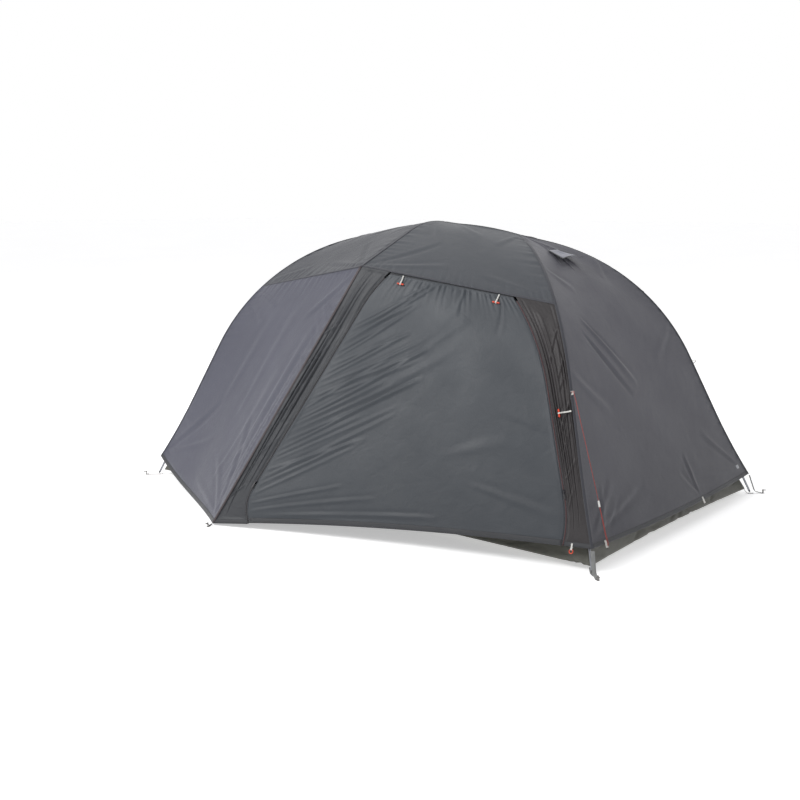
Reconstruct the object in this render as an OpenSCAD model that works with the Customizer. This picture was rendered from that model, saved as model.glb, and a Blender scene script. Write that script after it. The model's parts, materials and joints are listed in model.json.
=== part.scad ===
// Two-person double-wall dome tent on a hubbed pole frame, pitched and closed.
// X runs along the floor, -Y is the front. The origin is on the ground under the middle of the floor.

/* [Frame] */
// Distance between the pole feet along X
floor_length = 2240; // [2200:10:2280]
// Distance between the pole feet along Y
floor_width = 1360; // [1320:10:1400]
// Distance of each hub from the middle
hub_x = 370; // [350:5:390]
// Height of the pole axes at the hubs
hub_z = 1090; // [1080:2:1100]
// Height of the ridge pole's axis at its middle
ridge_z = 1132; // [1124:2:1140]
// Outside diameter of the pole tubes
pole_d = 8.7; // [8.5:0.1:9]
// Wall thickness of the pole tubes
pole_wall = 0.8; // [0.6:0.1:1]
// Slope of the lower legs from the ground
leg_slope = 63; // [62:0.5:64]
// Bending radius of the elbow in each leg
elbow_r = 900; // [880:10:920]

/* [Brow pole] */
// Where the brow pole crosses the ridge
brow_x = -55; // [-80:5:-30]
// Reach of the brow pole to each side of the ridge
brow_reach = 484; // [470:2:500]
// Slope of the brow pole's straight arms
brow_slope = 23; // [22:0.5:24]
// Bending radius of the brow pole's middle
brow_bend_r = 450; // [420:10:480]

/* [Fly] */
// Gap between a pole and the fly that lies over it
fly_gap = 4.6; // [4:0.1:6]
// Thickness of the fly panels
fly_t = 1.2; // [1:0.1:1.5]
// Where each vestibule is staked out along X
stake_x = -310; // [-340:5:-280]
// How far out each vestibule is staked
stake_y = 1085; // [1060:5:1110]
// Height of the fly's corners above the ground
corner_z = 75; // [70:1:85]
// Width of the slot that a door zip closes
zip_slot = 9; // [8:0.5:10]

/* [Inner tent] */
// Height of the bathtub walls
tub_h = 150; // [130:5:160]
// Gap between a pole and the inner tent that hangs from it
inner_gap = 20; // [16:1:26]
// Thickness of the inner tent's panels
inner_t = 1; // [0.8:0.1:1.2]

/* [Hidden] */
$fn = 48;

FLY_GREY = [0.38, 0.39, 0.42];
DOOR_GREY = [0.34, 0.36, 0.38];
BAND_GREY = [0.24, 0.25, 0.27];
INNER_GREY = [0.72, 0.73, 0.75];
FLOOR_GREY = [0.35, 0.36, 0.33];
METAL = [0.70, 0.71, 0.73];
DARK = [0.12, 0.12, 0.13];
RED = [0.75, 0.20, 0.12];
WEBBING_RED = [0.28, 0.10, 0.10];
WEBBING_GREY = [0.72, 0.72, 0.70];

pole_r = pole_d / 2;
fly_off = pole_r + fly_gap;
inner_off = -pole_r - inner_gap;
foot_z = 14;

// ---- Curves of the frame ----

function mix(a, b, t) = a + (b - a) * t;
function unit(v) = v / norm(v);
function clamp01(t) = max(0, min(1, t));

// The ridge is one arc from hub to hub, and the legs leave the hubs at the arc's end slope.
ridge_rise = ridge_z - hub_z;
ridge_r = (hub_x * hub_x + ridge_rise * ridge_rise) / (2 * ridge_rise);
ridge_slope = asin(hub_x / ridge_r);
function ridge_point(x, off) = [x, 0, ridge_z - ridge_r + sqrt(pow(ridge_r, 2) - x * x) + off];

// A leg is a straight foot, an elbow arc and a straight top, in the upright plane from foot to hub.
leg_plan = [hub_x - floor_length / 2, -floor_width / 2];
leg_azimuth = atan2(leg_plan[1], leg_plan[0]);
leg_reach = norm(leg_plan);
elbow_s = elbow_r * (sin(leg_slope) - sin(ridge_slope));
elbow_h = elbow_r * (cos(ridge_slope) - cos(leg_slope));
elbow_len = elbow_r * (leg_slope - ridge_slope) * PI / 180;
rest_s = leg_reach - elbow_s;
rest_z = hub_z - foot_z - elbow_h;
turn = sin(leg_slope - ridge_slope);
foot_len = (rest_z * cos(ridge_slope) - rest_s * sin(ridge_slope)) / turn;
top_len = (rest_s * sin(leg_slope) - rest_z * cos(leg_slope)) / turn;
leg_len = foot_len + elbow_len + top_len;

// Slope of a leg at the distance d from its foot
function leg_angle(d) =
    leg_slope - (leg_slope - ridge_slope) * clamp01((d - foot_len) / elbow_len);
// Point [inward, up] on a leg's axis at the distance d from its foot
function leg_sz(d) =
    d < foot_len ? [0, foot_z] + d * [cos(leg_slope), sin(leg_slope)] :
    d < foot_len + elbow_len ?
        [0, foot_z] + foot_len * [cos(leg_slope), sin(leg_slope)]
        + elbow_r * [sin(leg_slope) - sin(leg_angle(d)), cos(leg_angle(d)) - cos(leg_slope)] :
    [leg_reach, hub_z] - (leg_len - d) * [cos(ridge_slope), sin(ridge_slope)];
// The same point in space for the corner (sx, sy), moved off outwards from the axis
function leg_point(sx, sy, d, off) =
    let (a = leg_angle(d), p = leg_sz(d) + off * [-sin(a), cos(a)],
         q = [floor_length, floor_width] / 2 + p[0] * leg_plan / leg_reach)
    [sx * q[0], sy * q[1], p[1]];

// The brow pole lies on the ridge pole: a bent middle and two straight arms.
brow_rise = pole_d + 1.2;
brow_z = ridge_point(brow_x, 0)[2] + brow_rise;
brow_bend_y = brow_bend_r * sin(brow_slope);
brow_bend_drop = brow_bend_r * (1 - cos(brow_slope));
brow_arm = (brow_reach - brow_bend_y) / cos(brow_slope);
function brow_point(y, off) =
    abs(y) < brow_bend_y ?
        [brow_x, y, brow_z - brow_bend_r + sqrt(pow(brow_bend_r, 2) - y * y) + off] :
        [brow_x, y, brow_z - brow_bend_drop - (abs(y) - brow_bend_y) * tan(brow_slope) + off];

// ---- Curves of the fly, front side; the back is its mirror image ----

// Distance along a leg of the fly's corner, and of the seam between roof and walls
corner_d = (corner_z - foot_z) / sin(leg_slope);
seam_d = foot_len + 330;
hub_end_d = leg_len - 3;
corner_flare = 26;
flare_d = 380;
function fly_leg(sx, d) =
    leg_point(sx, -1, d, fly_off + corner_flare * pow(max(0, 1 - d / flare_d), 2));
function fly_ridge(x) =
    ridge_point(x, fly_off + brow_rise * pow(max(0, 1 - abs(x - brow_x) / 150), 2));
function fly_brow(y) = brow_point(y, fly_off);

brow_end = fly_brow(-brow_reach - 10);
vestibule = [stake_x, -stake_y, 8];
hem_bow = 30;
hem_lift = 0.93;

// Front hem from the vestibule's stake (t = 0) to the front right corner (t = 1)
function hem_right(t) =
    let (c = fly_leg(1, corner_d), p = mix(vestibule, c, t))
    [p[0], p[1] + hem_bow * 4 * t * (1 - t),
     mix(vestibule[2], c[2] * hem_lift, 1 - pow(1 - t, 2)) + c[2] * (1 - hem_lift) * pow(t, 6)];
// Front hem from the front left corner (t = 0) to the vestibule's stake (t = 1)
function hem_left(t) =
    let (c = fly_leg(-1, corner_d), p = mix(c, vestibule, t))
    [p[0] + hem_bow * 2 * t * (1 - t), p[1] + hem_bow * 2 * t * (1 - t),
     mix(c[2], vestibule[2], 1 - pow(1 - t, 4))];
function seam_right(t) = mix(brow_end, fly_leg(1, seam_d), t);
function seam_left(t) = mix(fly_leg(-1, seam_d), brow_end, t);
function tension_edge(t) = mix(vestibule, brow_end, t);

// The left door zip runs straight beside the tension edge and turns towards the door at both ends.
zip_base_left = 0.0526;
zip_aim_left = 0.126;
zip_foot_left = 0.1025;
zip_head_left = 0.165;
foot_bend_left = 0.14;
head_bend_left = 0.86;
zip_run_left = function (v) mix(hem_right(zip_base_left), seam_right(zip_aim_left), v);
zip_left = function (v)
    zip_run_left(v)
    + pow(max(0, 1 - v / foot_bend_left), 2) * (hem_right(zip_foot_left) - zip_run_left(0))
    + pow(max(0, (v - head_bend_left) / (1 - head_bend_left)), 2)
      * (seam_right(zip_head_left) - zip_run_left(1));
// The right door zip turns at its foot, runs straight beside the leg, then it follows the elbow.
zip_base_right = 0.953;
zip_foot_right = 0.93;
zip_head_right = 0.8;
foot_bend_right = 0.18;
zip_straight = 0.6;
placket_w = 87;
zip_knee = fly_leg(1, foot_len - 20) - placket_w * unit(fly_leg(1, foot_len) - tension_edge(0.62));
zip_steer = zip_knee + 0.36 * (zip_knee - hem_right(zip_base_right));
zip_run_right = function (v) mix(hem_right(zip_base_right), zip_knee, v / zip_straight);
function bezier(a, b, c, t) = mix(mix(a, b, t), mix(b, c, t), t);
zip_right = function (v)
    v < zip_straight
    ? zip_run_right(v)
      + pow(max(0, 1 - v / foot_bend_right), 2) * (hem_right(zip_foot_right) - zip_run_right(0))
    : bezier(zip_knee, zip_steer, seam_right(zip_head_right), (v - zip_straight) / (1 - zip_straight));
function across(v) = unit(zip_right(v) - zip_left(v));

// ---- Surfaces ----

// A function f on 0..1, bent so that it starts at a and ends at b
function pinned(f, a, b) = function (t) f(t) + (1 - t) * (a - f(0)) + t * (b - f(1));
// A surface between a lower edge c0, an upper edge c1 and two side edges d0 and d1. The sides'
// curvature fades towards the middle with the power k.
function patch(c0, c1, d0, d1, k) =
    let (low = pinned(c0, d0(0), d1(0)), high = pinned(c1, d0(1), d1(1)))
    function (u, v) mix(low(u), high(u), v)
        + pow(1 - u, k) * (d0(v) - mix(d0(0), d0(1), v))
        + pow(u, k) * (d1(v) - mix(d1(0), d1(1), v));
// A surface pushed by depth along the direction dir in its middle
function sagged(f, depth, dir) =
    function (u, v) f(u, v) + depth * 16 * u * (1 - u) * v * (1 - v) * unit(dir);
// Part of a surface
function part_of(f, u0, u1, v0, v1) = function (u, v) f(mix(u0, u1, u), mix(v0, v1, v));
// A surface drawn in by m at its edges: [left, right, bottom, top]
function trimmed(f, m) =
    let (w = norm(f(1, 0.5) - f(0, 0.5)), h = norm(f(0.5, 1) - f(0.5, 0)))
    part_of(f, m[0] / w, 1 - m[1] / w, m[2] / h, 1 - m[3] / h);

function grid(f, nu, nv) = [for (j = [0:nv]) [for (i = [0:nu]) f(i / nu, j / nv)]];
function grid_normal(g, i, j) =
    let (nu = len(g[0]) - 1, nv = len(g) - 1)
    unit(cross(g[j][min(i + 1, nu)] - g[j][max(i - 1, 0)],
               g[min(j + 1, nv)][i] - g[max(j - 1, 0)][i]));

// A closed panel on the surface f, thick by t outwards, with nu x nv cells. The cells from
// hole[0] to hole[1] across and from hole[2] to hole[3] up are left open.
module panel(f, nu, nv, t, hole = [0, 0, 0, 0]) {
    g = grid(f, nu, nv);
    n = (nu + 1) * (nv + 1);
    in_side = [for (j = [0:nv]) for (i = [0:nu]) g[j][i]];
    out_side = [for (j = [0:nv]) for (i = [0:nu]) g[j][i] + t * grid_normal(g, i, j)];
    function at(i, j) = j * (nu + 1) + i;
    function solid(i, j) =
        i >= 0 && j >= 0 && i < nu && j < nv
        && !(i >= hole[0] && i < hole[1] && j >= hole[2] && j < hole[3]);
    function wall(a, b) = [[a, b, b + n], [a, b + n, a + n]];
    cells = [for (j = [0:nv - 1]) for (i = [0:nu - 1]) if (solid(i, j)) [i, j]];
    faces = [for (c = cells) let (i = c[0], j = c[1],
                 a = at(i, j), b = at(i + 1, j), d = at(i, j + 1), e = at(i + 1, j + 1))
             each concat([[a, b, e], [a, e, d], [a + n, e + n, b + n], [a + n, d + n, e + n]],
                 solid(i, j - 1) ? [] : wall(b, a), solid(i, j + 1) ? [] : wall(d, e),
                 solid(i - 1, j) ? [] : wall(a, d), solid(i + 1, j) ? [] : wall(e, b))];
    polyhedron(concat(in_side, out_side), faces);
}

// A bar swept along path. section lists [across, up] points counter-clockwise seen against the
// path, with up the direction nearest to the list ups.
module sweep(path, ups, section) {
    n = len(path);
    m = len(section);
    function along(i) = unit(path[min(i + 1, n - 1)] - path[max(i - 1, 0)]);
    function side(i) = unit(cross(along(i), ups[i]));
    points = [for (i = [0:n - 1]) for (p = section)
              path[i] + p[0] * side(i) + p[1] * cross(side(i), along(i))];
    function at(i, k) = i * m + k % m;
    faces = concat(
        [for (i = [0:n - 2]) for (k = [0:m - 1])
             each [[at(i, k), at(i, k + 1), at(i + 1, k + 1)], [at(i, k), at(i + 1, k + 1), at(i + 1, k)]]],
        [for (k = [1:m - 2]) each [[0, at(0, k + 1), k], [at(n - 1, 0), at(n - 1, k), at(n - 1, k + 1)]]]);
    polyhedron(points, faces);
}

// ---- Placing ----

module mirrored(sx, sy) {
    mirror([sx < 0 ? 1 : 0, 0, 0]) mirror([0, sy < 0 ? 1 : 0, 0]) children();
}
// The back right leg's upright plane: x inward along the plan, z up
module leg_plane() {
    translate([floor_length, floor_width, 0] / 2) rotate([0, 0, leg_azimuth]) children();
}
// On the back right leg at the distance d: z along the pole to the hub, -x outwards
module leg_frame(d) {
    p = leg_sz(d);
    leg_plane() translate([p[0], 0, p[1]]) rotate([0, 90 - leg_angle(d), 0]) children();
}
// At the point p with z along normal and x as near as it can be to dir
module frame_at(p, dir, normal) {
    z = unit(normal);
    x = unit(dir - (dir * z) * z);
    y = cross(z, x);
    multmatrix([[x[0], y[0], z[0], p[0]], [x[1], y[1], z[1], p[1]], [x[2], y[2], z[2], p[2]]]) children();
}

// ---- Poles ----

module annulus(ro, ri) {
    difference() {
        circle(ro);
        if (ri > 0) circle(ri);
    }
}
// An arc in the XZ plane round the origin, from the angle a0 to a1 above the X axis
module arc_bar(radius, a0, a1, ro, ri) {
    rotate([90, 0, 0]) rotate_extrude(angle = a1 - a0, start = a0, $fn = 360)
        translate([radius, 0]) annulus(ro, ri);
}
// Bent tubes are drawn a little thinner, and the straight ones run a little way over their ends.
bend_draw = 0.05;
bend_lap = 2;
// The back right leg between the distances d0 and d1 from its foot
module leg_bar(d0, d1, ro, ri = 0) {
    elbow_end = foot_len + elbow_len;
    bend_start = max(d0, foot_len);
    bend_end = min(d1, elbow_end);
    top_start = max(d0, elbow_end - bend_lap);
    if (d0 < foot_len) leg_frame(d0) linear_extrude(min(d1, foot_len + bend_lap) - d0) annulus(ro, ri);
    if (bend_start < bend_end) {
        knee = leg_sz(foot_len);
        leg_plane() translate([knee[0] + elbow_r * sin(leg_slope), 0, knee[1] - elbow_r * cos(leg_slope)])
            arc_bar(elbow_r, 90 + leg_angle(bend_end), 90 + leg_angle(bend_start),
                    ro - bend_draw, ri > 0 ? ri + bend_draw : 0);
    }
    if (top_start < d1) leg_frame(elbow_end) translate([0, 0, top_start - elbow_end])
        linear_extrude(d1 - top_start) annulus(ro, ri);
}
module ridge_bar(x0, x1, ro, ri = 0) {
    translate([0, 0, ridge_z - ridge_r])
        arc_bar(ridge_r, 90 - asin(x1 / ridge_r), 90 - asin(x0 / ridge_r), ro, ri);
}
// The brow pole's bent middle with a length d of both its straight arms
module brow_bar(d, ro, ri = 0) {
    translate([brow_x, 0, brow_z - brow_bend_r]) rotate([0, 0, 90])
        arc_bar(brow_bend_r, 90 - brow_slope, 90 + brow_slope, ro - bend_draw, ri > 0 ? ri + bend_draw : 0);
    for (side = [0, 1]) mirror([0, side, 0]) brow_arm_frame(-bend_lap)
        linear_extrude(d + bend_lap) annulus(ro, ri);
}
module brow_arm_frame(d) {
    translate([brow_x, 0, brow_z]) rotate([0, 0, 90]) translate([brow_bend_y, 0, -brow_bend_drop])
        rotate([0, 90 + brow_slope, 0]) translate([0, 0, d]) children();
}

pole_ri = pole_r - pole_wall;
joint_gap = 0.4;
leg_joints = [400, 800, 1180];
hub_reach = 13;
brow_joint = 60;

module leg_tube(d0, d1) leg_bar(d0 + joint_gap / 2, d1 - joint_gap / 2, pole_r, pole_ri);
module leg_lower() color(METAL) {
    leg_tube(0, leg_joints[0]);
    leg_tube(leg_joints[0], leg_joints[1]);
}
module leg_upper() color(METAL) {
    leg_tube(leg_joints[1], leg_joints[2]);
    leg_tube(leg_joints[2], leg_len - hub_reach);
}
module ridge_pole() color(METAL) {
    ridge_bar(joint_gap, hub_x - hub_reach, pole_r, pole_ri);
    ridge_bar(hub_reach - hub_x, 0, pole_r, pole_ri);
}
module brow_pole() color(METAL) {
    brow_bar(brow_joint - joint_gap, pole_r, pole_ri);
    for (side = [0, 1]) mirror([0, side, 0]) brow_arm_frame(brow_joint)
        linear_extrude(brow_arm - brow_joint) annulus(pole_r, pole_ri);
}

hub_sleeve = 30;
hub_r = 6.6;
cord_hole_r = 1.8;
module pole_hub() difference() {
    union() {
        translate([hub_x, 0, hub_z]) sphere(hub_r + 1);
        ridge_bar(hub_x - hub_sleeve, hub_x, hub_r);
        for (side = [0, 1]) mirror([0, side, 0]) leg_bar(leg_len - hub_sleeve, leg_len, hub_r);
    }
    ridge_bar(hub_x - hub_sleeve - 2, hub_x - hub_reach + 0.2, pole_r + 0.05);
    ridge_bar(hub_x - hub_reach - 1, hub_x, cord_hole_r);
    for (side = [0, 1]) mirror([0, side, 0]) {
        leg_bar(leg_len - hub_sleeve - 2, leg_len - hub_reach + 0.2, pole_r + 0.05);
        leg_bar(leg_len - hub_reach - 1, leg_len, cord_hole_r);
    }
}
module pole_hubs() color(WEBBING_RED) for (side = [0, 1]) mirror([side, 0, 0]) pole_hub();

ferrule_half = 38;
ferrule_r = pole_ri - 0.05;
cord_r = 1.25;
module ferrules() color(METAL) {
    for (sx = [-1, 1], sy = [-1, 1], d = leg_joints)
        mirrored(sx, sy) leg_bar(d - ferrule_half, d + ferrule_half, ferrule_r, cord_hole_r);
    ridge_bar(-ferrule_half, ferrule_half, ferrule_r, cord_hole_r);
    for (side = [0, 1]) mirror([0, side, 0]) brow_arm_frame(brow_joint - ferrule_half)
        linear_extrude(2 * ferrule_half) annulus(ferrule_r, cord_hole_r);
}
cord_inset = 20;
module shock_cords() color(DARK) {
    for (sx = [-1, 1], sy = [-1, 1]) mirrored(sx, sy) leg_bar(cord_inset, leg_len - 5, cord_r);
    ridge_bar(5 - hub_x, hub_x - 5, cord_r);
    brow_bar(brow_arm - cord_inset, cord_r);
}
// A plug in the end of a tube with a collar and a ball tip; z runs into the tube
plug_len = 15;
module pole_tip() {
    cylinder(r = ferrule_r, h = plug_len);
    translate([0, 0, -3]) cylinder(r = pole_r, h = 3);
    translate([0, 0, -6]) cylinder(r = 2, h = 3.5);
    translate([0, 0, -6]) sphere(3);
}
module pole_tips() color(DARK) {
    for (sx = [-1, 1], sy = [-1, 1]) mirrored(sx, sy) leg_frame(0) pole_tip();
    for (side = [0, 1]) mirror([0, side, 0]) brow_arm_frame(brow_arm + 0.2) rotate([180, 0, 0]) pole_tip();
}
clip_half = 11;
module along_ridge(half, r) translate(ridge_point(brow_x, 0)) rotate([0, 90 + asin(brow_x / ridge_r), 0])
    cylinder(r = r, h = 2 * half, center = true);
module along_brow(half, r) translate([brow_x, 0, brow_z]) rotate([90, 0, 0])
    cylinder(r = r, h = 2 * half, center = true);
module brow_clip() color(DARK) difference() {
    union() {
        along_ridge(clip_half, hub_r);
        along_brow(clip_half, hub_r);
    }
    along_ridge(2 * clip_half, pole_r + 0.15);
    along_brow(2 * clip_half, pole_r + 0.2);
}

// ---- Inner tent ----

// A rectangular ring round the floor, drawn in by inset, with sides bowed inwards
ring_steps = 6;
function ring(inset, z, bow) =
    let (a = floor_length / 2 - inset, b = floor_width / 2 - inset,
         c = [[a, -b], [a, b], [-a, b], [-a, -b]])
    [for (side = [0:3]) for (k = [0:ring_steps - 1])
        let (t = k / ring_steps, p = mix(c[side], c[(side + 1) % 4], t),
             inward = [[-1, 0], [0, -1], [1, 0], [0, 1]][side])
        concat(p + bow * 4 * t * (1 - t) * inward, z)];

rim_inset = 14;
rim_z = 22;
tub_top_inset = 74;
tub_flat_inset = 170;
tub_t = 1.2;
edge_bow = 20;
module floor_tub() {
    rings = [ring(tub_flat_inset, 0, 0), ring(rim_inset, rim_z, edge_bow),
             ring(tub_top_inset, tub_h, edge_bow), ring(tub_top_inset + tub_t, tub_h, edge_bow),
             ring(rim_inset + 2 * tub_t, rim_z + tub_t, edge_bow), ring(tub_flat_inset, tub_t, 0)];
    m = 4 * ring_steps;
    last = len(rings) - 1;
    centres = len(rings) * m;
    function at(i, k) = i * m + k % m;
    points = concat([for (r = rings) each r], [[0, 0, 0], [0, 0, tub_t]]);
    walls = [for (i = [0:last - 1]) for (k = [0:m - 1])
             each [[at(i, k), at(i + 1, k), at(i + 1, k + 1)], [at(i, k), at(i + 1, k + 1), at(i, k + 1)]]];
    caps = [for (k = [0:m - 1])
            each [[centres, at(0, k), at(0, k + 1)], [centres + 1, at(last, k + 1), at(last, k)]]];
    color(FLOOR_GREY) polyhedron(points, concat(walls, caps));
}

tub_d = (tub_h + 4) / sin(leg_slope);
function inner_leg(sx, d) = leg_point(sx, -1, d, inner_off);
inner_brow_end = brow_point(25 - brow_reach, inner_off);
// The seam between the inner tent's front wall and its roof, from left (t = 0) to right (t = 1)
function inner_seam(t) =
    let (a = inner_leg(-1, seam_d), b = inner_leg(1, seam_d), tb = (brow_x - a[0]) / (b[0] - a[0]))
    t < tb ? mix(a, inner_brow_end, t / tb) : mix(inner_brow_end, b, (t - tb) / (1 - tb));
inner_low = function (t)
    mix(inner_leg(-1, tub_d), inner_leg(1, tub_d), t) + [0, edge_bow * 4 * t * (1 - t), 0];
inner_wall = trimmed(
    patch(inner_low, function (t) inner_seam(t),
          function (t) inner_leg(-1, mix(tub_d, seam_d, t)),
          function (t) inner_leg(1, mix(tub_d, seam_d, t)), 6), [2, 2, 0, 2]);
inner_roof_half = trimmed(
    patch(function (t) inner_seam(t), function (t) ridge_point(mix(-hub_x, hub_x, t), inner_off),
          function (t) inner_leg(-1, mix(seam_d, hub_end_d, t)),
          function (t) inner_leg(1, mix(seam_d, hub_end_d, t)), 1), [2, 2, 2, 2]);
inner_end = trimmed(
    patch(function (t) mix(inner_leg(1, tub_d), leg_point(1, 1, tub_d, inner_off), t)
              - [edge_bow * 4 * t * (1 - t), 0, 0],
          function (t) mix(inner_leg(1, hub_end_d), leg_point(1, 1, hub_end_d, inner_off), t),
          function (t) inner_leg(1, mix(tub_d, hub_end_d, t)),
          function (t) leg_point(1, 1, mix(tub_d, hub_end_d, t), inner_off), 1), [2, 2, 0, 2]);

// The inner door fills these cells of the wall's grid
wall_nu = 14;
wall_nv = 10;
door_cells = [5, 10, 1, 9];
door_gap = 3;
inner_door = trimmed(
    part_of(inner_wall, door_cells[0] / wall_nu, door_cells[1] / wall_nu,
            door_cells[2] / wall_nv, door_cells[3] / wall_nv), [door_gap, door_gap, door_gap, door_gap]);

module inner_end_panel() color(INNER_GREY) panel(inner_end, 8, 14, inner_t);
module inner_wall_panel() color(INNER_GREY) panel(inner_wall, wall_nu, wall_nv, inner_t, door_cells);
module inner_door_panel() color(INNER_GREY) panel(inner_door, 4, 6, inner_t);
module inner_roof() color(INNER_GREY) for (side = [0, 1]) mirror([0, side, 0])
    panel(inner_roof_half, 12, 4, inner_t);

clip_d = [330, 600, 860, 1120, 1380];
clip_ridge_x = [-200, 200];
module pole_clip() {
    difference() {
        translate([0, 0, -6]) cylinder(r = pole_r + 2.2, h = 12);
        translate([0, 0, -7]) cylinder(r = pole_r + 0.3, h = 14);
        translate([-12 - pole_r / 2, -10, -7]) cube([12, 20, 14]);
    }
    translate([pole_r + 1.2, -1, -5]) cube([inner_gap - 4, 2, 10]);
}
module pole_clips() color(DARK) {
    for (sx = [-1, 1], sy = [-1, 1], d = clip_d) mirrored(sx, sy) leg_frame(d) pole_clip();
    for (x = clip_ridge_x) translate(ridge_point(x, 0)) rotate([0, 90 + asin(x / ridge_r), 0]) pole_clip();
}

// ---- Fly ----

seam_trim = 2;
fly_roof_right = trimmed(
    patch(function (t) seam_right(t), function (t) fly_ridge(mix(brow_x, hub_x, t)),
          function (t) fly_brow(mix(-brow_reach - 10, 0, t)),
          function (t) fly_leg(1, mix(seam_d, hub_end_d, t)), 1), [2, 2, 2, 2]);
fly_roof_left = trimmed(
    patch(function (t) seam_left(t), function (t) fly_ridge(mix(-hub_x, brow_x, t)),
          function (t) fly_leg(-1, mix(seam_d, hub_end_d, t)),
          function (t) fly_brow(mix(-brow_reach - 10, 0, t)), 1), [2, 2, 2, 2]);
end_hem_dip = 12;
function across_end(d, t) = let (p = fly_leg(1, d)) [p[0], mix(p[1], -p[1], t), p[2]];
fly_end = trimmed(sagged(
    patch(function (t) across_end(corner_d, t) + end_hem_dip * 4 * t * (1 - t) * [1, 0, -1],
          function (t) across_end(hub_end_d, t),
          function (t) across_end(mix(corner_d, hub_end_d, t), 0),
          function (t) across_end(mix(corner_d, hub_end_d, t), 1), 1), 16, [-0.9, 0, -0.45]),
    [2, 2, 0, 2]);
fly_side = trimmed(sagged(
    patch(function (t) hem_left(t), function (t) seam_left(t),
          function (t) fly_leg(-1, mix(corner_d, seam_d, t)), function (t) tension_edge(t), 1.5),
    12, [0.4, 1, -0.5]), [2, 2, 0, 2]);

// The point beside the zip f at the distance k, square to its run
function beside(f, v, k) =
    let (run = unit(f(v + 0.01) - f(v - 0.01)), a = across(v)) f(v) + k * unit(a - (a * run) * run);
fly_gusset = trimmed(
    patch(function (t) hem_right(mix(0, zip_foot_left, t)),
          function (t) seam_right(mix(0, zip_head_left, t)),
          function (t) tension_edge(t), function (t) beside(zip_left, t, -zip_slot / 2), 1), [2, 0, 0, 2]);
fly_placket = trimmed(
    patch(function (t) hem_right(mix(zip_foot_right, 1, t)),
          function (t) seam_right(mix(zip_head_right, 1, t)),
          function (t) beside(zip_right, t, zip_slot / 2),
          function (t) fly_leg(1, mix(corner_d, seam_d, t)), 1), [0, 2, 0, 2]);
door = trimmed(
    patch(function (t) hem_right(mix(zip_foot_left, zip_foot_right, t)),
          function (t) seam_right(mix(zip_head_left, zip_head_right, t)),
          function (t) beside(zip_left, t, zip_slot / 2),
          function (t) beside(zip_right, t, -zip_slot / 2), 1), [0, 0, 0, 3]);
// Steps along a door zip; the bands beside it have as many, so that their edges keep clear of it
zip_steps = 48;

module fly_roof_right_panel() color(FLY_GREY) panel(fly_roof_right, 8, 8, fly_t);
module fly_roof_left_panel() color(FLY_GREY) panel(fly_roof_left, 8, 8, fly_t);
module fly_end_panel() color(FLY_GREY) panel(fly_end, 8, 18, fly_t);
module fly_side_panel() color(FLY_GREY) panel(fly_side, 8, 10, fly_t);
module fly_gusset_panel() color(BAND_GREY) panel(fly_gusset, 2, zip_steps, fly_t);
module fly_placket_panel() color(BAND_GREY) panel(fly_placket, 3, zip_steps, fly_t);
module door_panel() color(DOOR_GREY) panel(door, 8, 12, fly_t);

// ---- Door zips ----

coil_w = 2.8;
coil_h = 2;
tape_t = 0.8;
tape_reach = zip_slot / 2 - 1.2;
// The coil and the tape that joins it to the fly, on the right
zip_section = [[-coil_w / 2, 0], [-coil_w / 2, -coil_h / 2], [coil_w / 2, -coil_h / 2],
               [coil_w / 2, -tape_t / 2], [tape_reach, -tape_t / 2], [tape_reach, tape_t / 2],
               [coil_w / 2, tape_t / 2], [coil_w / 2, coil_h / 2], [-coil_w / 2, coil_h / 2]];
zip_section_left = concat([[coil_w / 2, 0]],
                          [for (i = [len(zip_section) - 1:-1:1]) [-zip_section[i][0], zip_section[i][1]]]);
zip_rise = fly_t / 2;
zip_top = 0.975;
zip_v = [for (i = [0:zip_steps]) zip_top * i / zip_steps];
function zip_normal(f, v) = unit(cross(across(v), f(v + 0.01) - f(v - 0.01)));
module zip_bar(f, section) {
    ups = [for (v = zip_v) zip_normal(f, max(0.01, v))];
    sweep([for (i = [0:zip_steps]) f(zip_v[i]) + zip_rise * ups[i]], ups, section);
}
module door_zips() color(DARK) {
    zip_bar(zip_left, zip_section_left);
    zip_bar(zip_right, zip_section);
}

// A slider: x up the zip, z outwards, the coil on the x axis, open on the -y side for the tape
slider_len = 16;
slider_w = 7.2;
slider_start = [0.16, 0.2];
plate_t = 1.4;
channel_h = 3;
bail_z = 5.4;
module slider() {
    for (z = [-channel_h / 2 - plate_t, channel_h / 2])
        translate([-slider_len / 2, -slider_w / 2, z]) cube([slider_len, slider_w, plate_t]);
    translate([-slider_len / 2, slider_w / 2 - 1.2, -channel_h / 2]) cube([slider_len, 1.2, channel_h]);
    for (y = [-3.4, 2.4]) translate([-1.5, y, channel_h / 2 + plate_t / 2]) cube([3, 1, bail_z - 1]);
    translate([0, 3, bail_z]) rotate([90, 0, 0]) cylinder(r = 0.8, h = 6);
}
// The pull hangs on the bail and points down the zip
pull_len = 26;
module pull() {
    difference() {
        union() {
            translate([0, 2, bail_z]) rotate([90, 0, 0]) cylinder(r = 2.2, h = 4);
            translate([-pull_len, -2, bail_z - 0.7]) cube([pull_len, 4, 1.4]);
            translate([-pull_len, -3, bail_z - 1.2]) cube([12, 6, 2.4]);
        }
        translate([0, 3, bail_z]) rotate([90, 0, 0]) cylinder(r = 1.1, h = 6);
    }
}
module on_zip(run, v) {
    normal = zip_normal(run, v);
    frame_at(run(v) + zip_rise * normal, run(1) - run(0), normal) children();
}
module on_zip_left() on_zip(zip_run_left, slider_start[0]) children();
module on_zip_right() on_zip(zip_run_right, slider_start[1]) children();
module zip_slider_left() color(DARK) on_zip_left() mirror([0, 1, 0]) slider();
module zip_slider_right() color(DARK) on_zip_right() slider();
module zip_pull_left() color(RED) on_zip_left() pull();
module zip_pull_right() color(RED) on_zip_right() pull();

// ---- Toggles, loops, guyline ----

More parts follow.
